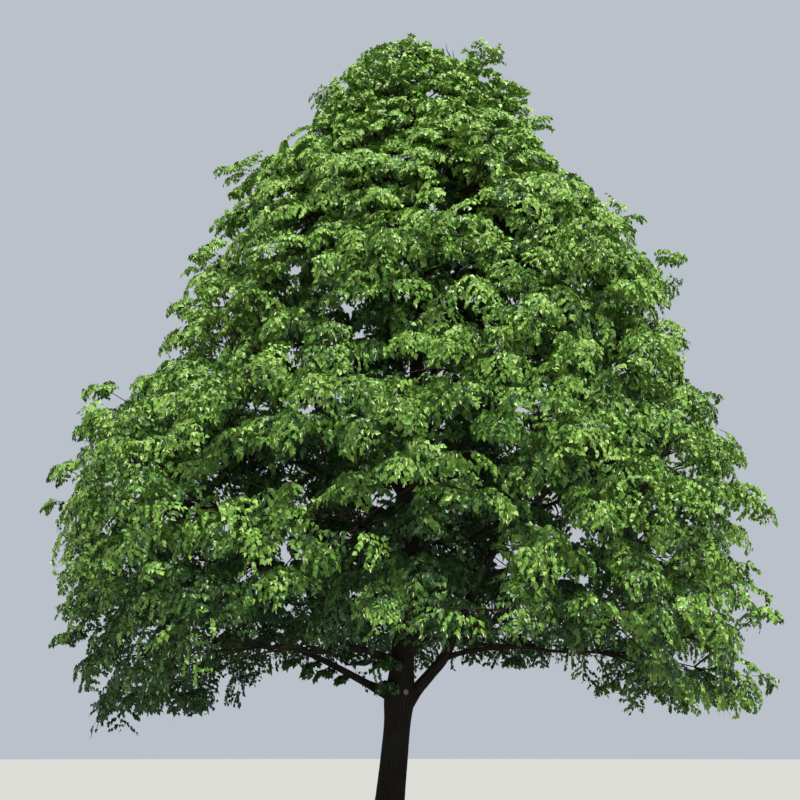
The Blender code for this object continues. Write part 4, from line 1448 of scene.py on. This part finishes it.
    def twigs(self, fans: Fans, arm_paths: Array, uppers: Array) -> Array:
        """The paths of the twigs, which spread round the end of an arm and arch over like a dome.

        A twig's place is its foot + length * (way * t - drop * t^2), where the drop is partly
        against the way that the dome faces and partly straight down. The twigs of a sprig run further
        forward, and its first twig ends at the sprig's tip.

        Args:
            fans: The fans.
            arm_paths: The paths of their arms.
            uppers: The way that each dome faces.

        Returns:
            Paths, (fans, twigs, rings, 3).
        """
        side = unit(np.cross(UP, fans.faces) + (TINY, 0, 0))
        over = np.cross(side, uppers)
        angles = np.radians(np.array(self.rule.azimuths)[None] + fans.rolls[:, None])
        astray = self.rng.uniform(-self.twig_astray, self.twig_astray, angles.shape)
        angles = (angles + astray)[..., None]
        led = np.isfinite(fans.tips[:, 0])
        forward = np.where(led, self.sprig_forward, self.forward)[:, None]
        upright = np.interp(fans.sites[:, 2:], *self.upright_by_height)
        ways = side[:, None] * np.cos(angles) + over[:, None] * np.sin(angles)
        rise = uppers * (self.twig_rise + self.top_rise * upright)
        ways = unit(ways + (fans.faces * forward + rise)[:, None])
        drop = (uppers * self.twig_droop + UP * self.twig_sag) * (1 - self.top_stiffness * upright)
        arm_length = np.linalg.norm(np.diff(arm_paths, axis=1), axis=2).sum(axis=1)
        back = np.array(self.fan_feet)[None] * fans.sizes / arm_length[:, None]
        back = np.clip(back, 0, self.furthest_foot)
        feet = self.along(arm_paths, 1 - back)
        luck = self.rng.uniform(1 - self.twig_spread, 1 + self.twig_spread, fans.sizes.shape)
        lengths = self.twig_length * fans.sizes * luck
        reach = (fans.tips - feet[:, 0])[led]
        lengths[led, 0] = np.linalg.norm(reach, axis=1)
        ways[led, 0] = unit(reach) + drop[led]
        shares = np.linspace(0, 1, self.twig_rings)[:, None]
        places = ways[:, :, None] * shares - drop[:, None, None] * shares**2
        return feet[:, :, None] + lengths[..., None, None] * places

    def upper_sides(self, fans: Fans) -> Array:
        """The way that each fan's dome faces: up, somewhat out of the crown, and a little astray."""
        return unit(fans.faces * self.tilt + UP + self.rng.normal(0, self.lean, fans.faces.shape))

    def leafy_twigs(self, fans: Fans, arm_paths: Array) -> Twigs:
        """The twigs of all fans, without those that hardly grow where leaves may be.

        Args:
            fans: The fans, with those of the tufts last.
            arm_paths: The paths of their arms.

        Returns:
            The twigs that are kept.
        """
        per_fan = fans.sizes.shape[1]
        led = np.isfinite(fans.tips[:, 0])
        ordinary = fans.sizes * self.rng.uniform(1 - self.size_spread, 1 + self.size_spread, (len(led), 1))
        fans = replace(fans, sizes=np.where(led[:, None], self.sprig_size * fans.sizes, ordinary))
        uppers = self.upper_sides(fans)
        centres = arm_paths[:, -1] - uppers * (self.dome_radius * fans.sizes[:, :1])
        others = len(led) - len(self.tufts)
        free = led | (np.arange(len(led)) >= others)
        lights = np.concatenate((np.zeros(others), [tuft.light for tuft in self.tufts]))
        paths = self.twigs(fans, arm_paths, uppers).reshape(-1, self.twig_rings, 3)
        owners, centres, lights, free, domes = (
            np.repeat(values, per_fan, axis=0) for values in (fans.owners, centres, lights, free, uppers)
        )
        across = unit(np.cross(domes, paths[:, -1] - paths[:, 0]))
        shares = np.linspace(*self.leafy_stretch, self.leaves_on_twig)
        shares = np.broadcast_to(shares, (len(paths), self.leaves_on_twig))
        places = self.along(paths, shares)
        leafy = self.may_grow(places[:, :, None], free[:, None])
        twigs = Twigs(paths, across, owners, fans.sizes.ravel(), centres, lights, free, shares, places, leafy)
        return twigs.chosen(leafy.mean(axis=1) >= self.twig_kept)

    def grow(self, fans: Fans, arm_paths: Array) -> Sprays:
        """Twigs with side shoots by turns to the left and right, and the places of their leaves.

        Args:
            fans: The fans.
            arm_paths: The paths of their arms.

        Returns:
            The sprays, without what would leave the crown or fill a hollow.
        """
        twigs = self.leafy_twigs(fans, arm_paths)
        paths, across, free = twigs.paths, twigs.across, twigs.free
        count = len(paths)
        share = self.first_shoot + self.shoot_stretch * (np.arange(self.shoots) + 0.5) / self.shoots
        shift = self.rng.uniform(-self.shoot_shift, self.shoot_shift, (count, self.shoots))
        share = np.clip(share + shift, *self.shoot_bounds)
        starts = self.along(paths, share)
        ahead, behind = self.way_steps
        ways = unit(self.along(paths, share + ahead) - self.along(paths, share - behind))
        turns = self.by_turns(np.arange(self.shoots) + np.arange(count)[:, None])
        swing = self.rng.uniform(-self.angle_spread, self.angle_spread, share.shape)
        angle = np.radians(self.shoot_angle + swing)[..., None]
        profile = np.sin(np.pi * (self.profile_start + self.profile_stretch * share)) ** self.profile_power
        luck = self.rng.uniform(1 - self.shoot_spread, 1 + self.shoot_spread, share.shape)
        reach = self.shoot_reach * twigs.sizes[:, None] * profile * luck
        shoot_ways = ways * np.cos(angle) + across[:, None] * turns[..., None] * np.sin(angle)
        bend = self.shoot_bend * unit(twigs.centres[:, None] - starts)

        def shoot_places(parts: Array) -> Array:
            """Places on the shoots: start + reach * (way * part + bend * part^2)."""
            return starts[:, :, None] + reach[..., None, None] * (
                shoot_ways[:, :, None] * parts + bend[:, :, None] * parts**2
            )

        shoot_paths = shoot_places(np.array((0.0, 0.5, 1.0))[:, None])
        keep = self.may_grow(shoot_paths[:, :, 1:], free[:, None])
        part = (np.arange(self.leaves_on_shoot) + self.first_leaf) * self.leaf_pitch / reach[..., None]
        here = keep[..., None] & (part < self.last_leaf)
        stations = shoot_places(part[..., None])
        station_ways = np.broadcast_to(shoot_ways[:, :, None], stations.shape)
        sides = np.broadcast_to(self.by_turns(np.arange(self.leaves_on_shoot)), here.shape)
        numbers = np.broadcast_to(np.arange(count * self.shoots).reshape(count, self.shoots, 1), here.shape)
        twig_ways = unit(twigs.places - self.along(paths, twigs.shares - self.twig_way_step))
        twig_sides = np.broadcast_to(self.by_turns(np.arange(self.leaves_on_twig)), twigs.shares.shape)
        twig_numbers = np.broadcast_to(self.shoots * np.arange(count)[:, None], twigs.shares.shape)
        insets = self.crown.inset(paths[:, self.twig_rings // 2])
        wooden = keep & (insets < self.shoot_deepest)[:, None]
        places = np.concatenate((stations[here], twigs.places[twigs.leafy]))
        bearer = np.concatenate((numbers[here], twig_numbers[twigs.leafy]))
        twig = bearer // self.shoots
        return Sprays(
            twig_paths=paths,
            twig_across=across,
            twig_owner=twigs.owners,
            twig_insets=insets,
            twig_lights=twigs.lights,
            shoot_paths=shoot_paths[wooden],
            shoot_across=np.broadcast_to(across[:, None] + self.shoot_tilt * UP, starts.shape)[wooden],
            shoot_owner=np.broadcast_to(twigs.owners[:, None], keep.shape)[wooden],
            stations=places,
            ways=np.concatenate((station_ways[here], twig_ways[twigs.leafy])),
            sides=np.concatenate((sides[here], twig_sides[twigs.leafy])),
            uppers=unit(places - twigs.centres[twig]),
            shoots=bearer,
            twigs=twig,
            owners=twigs.owners[twig],
        )

    @staticmethod
    def by_turns(numbers: Array) -> Array:
        """1 for an odd number, and -1 for an even one."""
        return np.where(numbers % 2, 1.0, -1.0)

    def may_grow(self, points: Array, free: Array) -> Array:
        """True for each row of points that all lie where leaves may be."""
        tolerance = np.interp(points[..., 2], *self.tolerance_by_height)
        inside = (self.height_inside(points) > 0) & (self.inset(points) > -tolerance)
        hollow = self.crown.in_hollow(points, self.hollow_grown[0])
        within = ((points > self.reach[0]) & (points < self.reach[1])).all(axis=(-2, -1))
        return (inside.all(axis=-1) | free) & within & ~hollow.any(axis=-1)

    def inset(self, points: Array) -> Array:
        """How far inside the crown's outline each point is, once waves carry it in and out."""
        return self.crown.inset(points) + self.swell * self.waves(points)

    def height_inside(self, points: Array) -> Array:
        """How far above the crown's underside each point is.

        Leaves hang a little below the arch over the fork, and waves carry the skirts up.
        """
        foot = self.crown.underside(points[..., 0])
        skirt = (self.crown.arch_height - foot) / (self.crown.arch_height - self.crown.skirt_height)
        raised = self.rag * (1 + self.waves(points)) / 2
        return points[..., 2] - foot - raised * skirt + self.fringe * (1 - skirt)

    @staticmethod
    def waves(points: Array) -> Array:
        """Slow waves through the crown, between -1 and 1, from three sines that cross."""
        x, y, z = np.moveaxis(points, -1, 0)
        first = np.sin(2.0 * x + 1.5 * z + 0.6)
        second = np.sin(2.1 * y - 2.4 * z + 2.0)
        third = np.sin(2.9 * z - 1.2 * x - 1.5 * y)
        return (first + second + third) / 3

    @staticmethod
    def along(paths: Array, shares: Array) -> Array:
        """Places on paths of evenly spread points, at shares of their length."""
        rings = paths.shape[1]
        where = np.clip(shares, 0, 1) * (rings - 1)
        ring = np.minimum(where.astype(int), rings - 2)
        rows = np.arange(len(paths))[:, None]
        part = (where - ring)[..., None]
        return paths[rows, ring] * (1 - part) + paths[rows, ring + 1] * part


# ---------------------------------------------------------------- leaves


@dataclass
class Leaves:
    """Heart-shaped leaves of three faces, and the pale bracts among them."""

    rng: np.random.Generator
    length: float = 0.071
    spread: float = 0.22
    shade_growth: float = 0.4  # how much larger leaves are for each metre inside the outline
    small_below: float = 3.2  # where they don't grow larger
    hang: float = 0.75
    outline: tuple[Place, ...] = (
        (0.0, 0.0, 0.0),
        (-0.12, 0.27, -0.02),
        (0.32, 0.45, 0.06),
        (1.0, 0.0, -0.16),
        (0.14, -0.42, 0.03),
    )  # notch, lobe, side, tip and the smaller side of the slanted base, over the leaf's length
    faces: tuple[tuple[int, int, int], ...] = ((0, 2, 1), (0, 3, 2), (0, 4, 3))
    most_growth: float = 1.2  # metres inside the outline past which they grow no larger
    along_wood: float = 0.5
    off_wood: float = 0.6
    astray: float = 0.28
    upper_along: float = 0.35
    upper_astray: float = 0.65
    bract_out: float = 0.35
    bract_astray: tuple[float, float] = (0.25, 0.3)
    bract_widest: float = 0.55
    bract_length: float = 0.085
    bract_width: float = 0.2
    bract_share: float = 0.08

    def frames(self, sprays: Sprays) -> tuple[Array, Array, Array]:
        """Along, across and upper side of each leaf.

        A leaf points out to its own side of the wood and hangs, and its upper side faces the way
        that the dome of its spray does there.

        Args:
            sprays: Where the leaves join.

        Returns:
            Three directions for each leaf, square to one another.
        """
        count = len(sprays.stations)
        outward = np.cross(sprays.uppers, sprays.ways) * sprays.sides[:, None]
        along = self.along_wood * sprays.ways + self.off_wood * unit(outward) - self.hang * UP
        along = unit(along + self.rng.normal(0, self.astray, (count, 3)))
        upper = sprays.uppers + self.upper_along * sprays.ways
        upper = upper + self.rng.normal(0, self.upper_astray, (count, 3))
        across = unit(np.cross(upper, along))
        return along, across, np.cross(along, across)

    def leaves(self, sprays: Sprays) -> Array:
        """The points of every leaf, (leaves, corners, 3)."""
        along, across, upper = self.frames(sprays)
        sizes = self.length * self.rng.uniform(1 - self.spread, 1 + self.spread, len(along))
        shaded = np.clip(sprays.twig_insets[sprays.twigs], 0, self.most_growth)
        above_skirts = np.clip(sprays.stations[:, 2] - self.small_below, 0, 1)
        sizes = sizes * (1 + self.shade_growth * shaded * above_skirts)
        shape = np.array(self.outline)
        points = (
            shape[:, 0, None] * along[:, None]
            + shape[:, 1, None] * across[:, None]
            + shape[:, 2, None] * upper[:, None]
        )
        return sprays.stations[:, None] + points * sizes[:, None, None]

    def bracts(self, sprays: Sprays) -> tuple[Array, Array]:
        """Narrow pale bracts of two faces that hang beside some of the leaves."""
        chosen = self.rng.random(len(sprays.stations)) < self.bract_share
        feet, uppers = sprays.stations[chosen], sprays.uppers[chosen]
        swing, twist = self.bract_astray
        along = unit(self.bract_out * uppers - UP + self.rng.normal(0, swing, feet.shape))
        across = unit(np.cross(uppers + self.rng.normal(0, twist, feet.shape), along))
        middle = feet + along * (self.bract_widest * self.bract_length)
        half = across * (self.bract_width * self.bract_length / 2)
        points = np.stack((feet, middle - half, feet + along * self.bract_length, middle + half), axis=1)
        return repeated(points, np.array(((0, 1, 2), (0, 2, 3))))


@dataclass
class Foliage:
    """The dressed crown: twigs and leaves in a piece of each kind for every tier, and the bracts in one
    piece.
    """

    growth: Growth
    leaves: Leaves
    twig_spread: float = 0.6  # of the tones, from twig to twig
    shoot_spread: float = 1.1
    tone_limits: tuple[float, ...] = (-1.3, -0.5, 0.4, 1.2)
    brightest: float = 0.4  # the usual tone at the outline
    # painted sunlight: how much lighter the tones are, at heights
    light_by_height: tuple[tuple[float, ...], ...] = ((4.0, 8.0, 12.5), (0.2, 0.6, 1.7))
    # Painted shade under the crown: the skirts darken below skirt_top, most towards -X, away from the key
    # light.
    skirt_top: float = 4.4  # below it the tones darken,
    skirt_shade: float = 1.0  # by so much for each metre,
    skirt_side: float = 0.14  # and by so much more for each metre towards -X
    stem_rings: int = 4
    sides: tuple[int, int, int] = (8, 4, 3)  # of stems, arms and twigs
    twig_taper: float = 0.3
    aslant: Place = (0.3, 0.4, 0.2)  # a way that neither stems nor arms run along
    shade: float = 1.4  # painted shade: how much darker a spray's tone tends to be for each metre inside the outline

    def dress(self, fans: Fans, hearts: dict[str, Array], feet: Array, foot_radii: Array) -> None:
        """Makes the pieces.

        Args:
            fans: The fans.
            hearts: The middles of the masses, by name.
            feet: Where each mass's stem starts, (masses, 3).
            foot_radii: The stem's radius there, (masses,).
        """
        middles = np.array(list(hearts.values()))
        fans = self.growth.opened(fans)
        arm_paths = self.growth.arms(fans, feet, middles)
        more, more_paths = self.growth.more_fans(fans, arm_paths)
        tufts, tuft_paths = self.growth.tuft_fans(fans, arm_paths)
        log.info("%d fans by the rule, %d between them", len(fans.sites), len(more.sites))
        fans = fans.with_more(more).with_more(tufts)
        arm_paths = np.concatenate((arm_paths, more_paths, tuft_paths))
        sprays = self.growth.grow(fans, arm_paths)
        leaf_points = self.leaves.leaves(sprays)
        leaf_tones = self.tones(sprays)
        greens = [tone.value.material() for tone in Tone]
        twig_material = TWIG_FINISH.material()
        tiers = [name.rsplit("_", 1)[0] for name in hearts]
        for tier in dict.fromkeys(tiers):
            nodes = [f"foliage_{name}" for name, of_tier in zip(hearts, tiers) if of_tier == tier]
            own = np.flatnonzero([of_tier == tier for of_tier in tiers])
            here = np.isin(sprays.owners, own)
            leaves = repeated(leaf_points[here], np.array(self.leaves.faces))
            tones = np.repeat(leaf_tones[here], len(self.leaves.faces))
            make_piece(f"leaves_{tier}", *leaves, greens, nodes, FOLIAGE, tones, smooth=False)
            wood = self.wood(fans, sprays, arm_paths, feet, middles, foot_radii, own)
            make_piece(f"twigs_{tier}", *wood, [twig_material], nodes, BARK)
        everything = [f"foliage_{name}" for name in hearts]
        bracts = self.leaves.bracts(sprays)
        make_piece("bracts", *bracts, [BRACT_FINISH.material()], everything, FOLIAGE, smooth=False)
        log.info("%d leaves on %d fans", len(leaf_points), len(fans.sites))

    def tones(self, sprays: Sprays) -> Array:
        """The number of each leaf's tone, dealt at random by twig and by shoot, made darker as painted shade
        inside the crown and on the skirts, and lighter as painted sunlight high up and on lit tufts.
        """
        rng = self.leaves.rng
        by_twig = rng.normal(0, self.twig_spread, len(sprays.twig_paths))
        # Painted shade: darker for each metre inside the outline.
        by_twig = by_twig - self.shade * np.maximum(sprays.twig_insets, 0)
        x, _, heights = sprays.twig_paths[:, 0].T
        # Painted sunlight: lighter higher up, and on the lit tufts.
        by_twig += np.interp(heights, *self.light_by_height)
        by_twig += sprays.twig_lights
        # Painted shade on the skirts: darker below skirt_top, most towards -X, away from the key light.
        by_twig -= np.maximum(self.skirt_top - heights, 0) * (self.skirt_shade - self.skirt_side * x)
        by_shoot = rng.normal(0, self.shoot_spread, sprays.shoots.max() + 1)
        lightness = self.brightest + by_twig[sprays.twigs] + by_shoot[sprays.shoots]
        return np.searchsorted(self.tone_limits, lightness)

    def wood(
        self,
        fans: Fans,
        sprays: Sprays,
        arm_paths: Array,
        feet: Array,
        hearts: Array,
        foot_radii: Array,
        own: Array,
    ) -> tuple[Array, Array]:
        """The stems, arms, twigs and shoots of some of the masses.

        Args:
            fans: The fans.
            sprays: The twigs and shoots.
            arm_paths: The paths of the arms.
            feet: Where each mass's stem starts.
            hearts: Where it ends.
            foot_radii: Its radius at its start.
            own: The numbers of the masses.

        Returns:
            Points and triangles.
        """
        growth = self.growth
        stem_sides, arm_sides, twig_sides = self.sides
        shares = np.linspace(0, 1, self.stem_rings)[:, None]
        stems = feet[own, None] + (hearts - feet)[own, None] * shares
        thick = foot_radii[own, None] + (growth.arm_radii[0] - foot_radii[own, None]) * shares[:, 0]
        arms = arm_paths[np.isin(fans.owners, own)]
        arm_radii = np.broadcast_to(np.linspace(*growth.arm_radii, growth.arm_rings), arms.shape[:2])
        twigs = np.isin(sprays.twig_owner, own)
        twig_paths = sprays.twig_paths[twigs]
        twig_radii = growth.twig_radius * np.linspace(1, self.twig_taper, growth.twig_rings)
        twig_radii = np.broadcast_to(twig_radii, twig_paths.shape[:2])
        shoots = np.isin(sprays.shoot_owner, own)
        shoot_paths = sprays.shoot_paths[shoots][:, (0, -1)]
        return joined([
            tubes(stems, thick, stem_sides, np.cross(stems[:, -1] - stems[:, 0], self.aslant)),
            tubes(arms, arm_radii, arm_sides, np.cross(arms[:, -1] - arms[:, 0], self.aslant)),
            tubes(twig_paths, twig_radii, twig_sides, sprays.twig_across[twigs]),
            needles(shoot_paths, growth.shoot_radius, sprays.shoot_across[shoots]),
        ])


# ---------------------------------------------------------------- studio


@dataclass
class Studio:
    """A plain pale floor, soft light with one high key, and the camera."""

    eye: Place = (0.243, -26.0, 1.55)
    tilt: float = 12.1
    lens: float = 72.4
    furthest: float = 500.0  # what the camera still sees
    floor_radius: float = 160.0
    floor_sides: int = 96
    sky: Colour = (0.80, 0.86, 0.95)
    sky_strength: float = 0.62
    key_energy: float = 6.2
    key_colour: Colour = (1.0, 0.97, 0.90)
    key_softness: float = 4.0
    key_azimuth: float = 290.0
    key_height: float = 66.0

    def build(self) -> None:
        """Makes the floor, the light and the camera."""
        self.floor()
        self.light()
        self.camera()
        bpy.context.scene.view_settings.view_transform = "Standard"

    def floor(self) -> None:
        """A round floor under the tree."""
        angles = np.linspace(0, 2 * np.pi, self.floor_sides, endpoint=False)
        rim = np.stack((np.cos(angles), np.sin(angles), np.zeros_like(angles)), axis=1) * self.floor_radius
        mesh = bpy.data.meshes.new("studio_floor")
        mesh.from_pydata(rim.tolist(), [], [tuple(range(self.floor_sides))])
        mesh.materials.append(FLOOR_FINISH.material())
        linked("studio_floor", mesh)

    def light(self) -> None:
        """A pale even sky, and a key from high in front."""
        world = bpy.data.worlds.new("studio")
        world.use_nodes = True
        background = world.node_tree.nodes["Background"]
        background.inputs["Color"].default_value = (*self.sky, 1.0)
        background.inputs["Strength"].default_value = self.sky_strength
        bpy.context.scene.world = world
        key = bpy.data.lights.new("key", "SUN")
        key.energy = self.key_energy
        key.angle = math.radians(self.key_softness)
        key.color = self.key_colour
        turn = math.radians(self.key_azimuth + 90)
        linked("key", key).rotation_euler = (math.radians(90 - self.key_height), 0.0, turn)

    def camera(self) -> None:
        """The camera, at eye height in front of the tree and tilted up."""
        lens = bpy.data.cameras.new("camera")
        lens.lens = self.lens
        lens.clip_end = self.furthest
        made = linked("camera", lens)
        made.location = self.eye
        made.rotation_euler = (math.radians(90 + self.tilt), 0.0, 0.0)
        bpy.context.scene.camera = made


def main() -> None:
    """Builds the limbs, the crown and the studio, in that order."""
    logging.basicConfig(level=logging.INFO, format="%(message)s")
    crown = Crown()
    masses = Masses(crown)
    limbs = Limbs(masses)
    hearts = masses.hearts(float(limbs.middle(limbs.trunk_tip)[0]))
    boughs = limbs.boughs(hearts)
    limbs.dress(boughs, BarkFinish().material())
    rule = FanRule(crown, masses)
    fans = rule.spread(np.array(list(hearts.values())))
    feet = np.array([*(boughs[mass].path[-1] for mass in list(hearts)[:-1]), limbs.middle(limbs.trunk_tip)])
    radii = np.array([*(boughs[mass].radii[-1] for mass in list(hearts)[:-1]), limbs.radius(limbs.trunk_tip)])
    rng = np.random.default_rng(DETAIL_SEED)
    Foliage(Growth(crown, rule, masses, rng), Leaves(rng)).dress(fans, hearts, feet, radii)
    Studio().build()


if __name__ == "__main__":
    main()
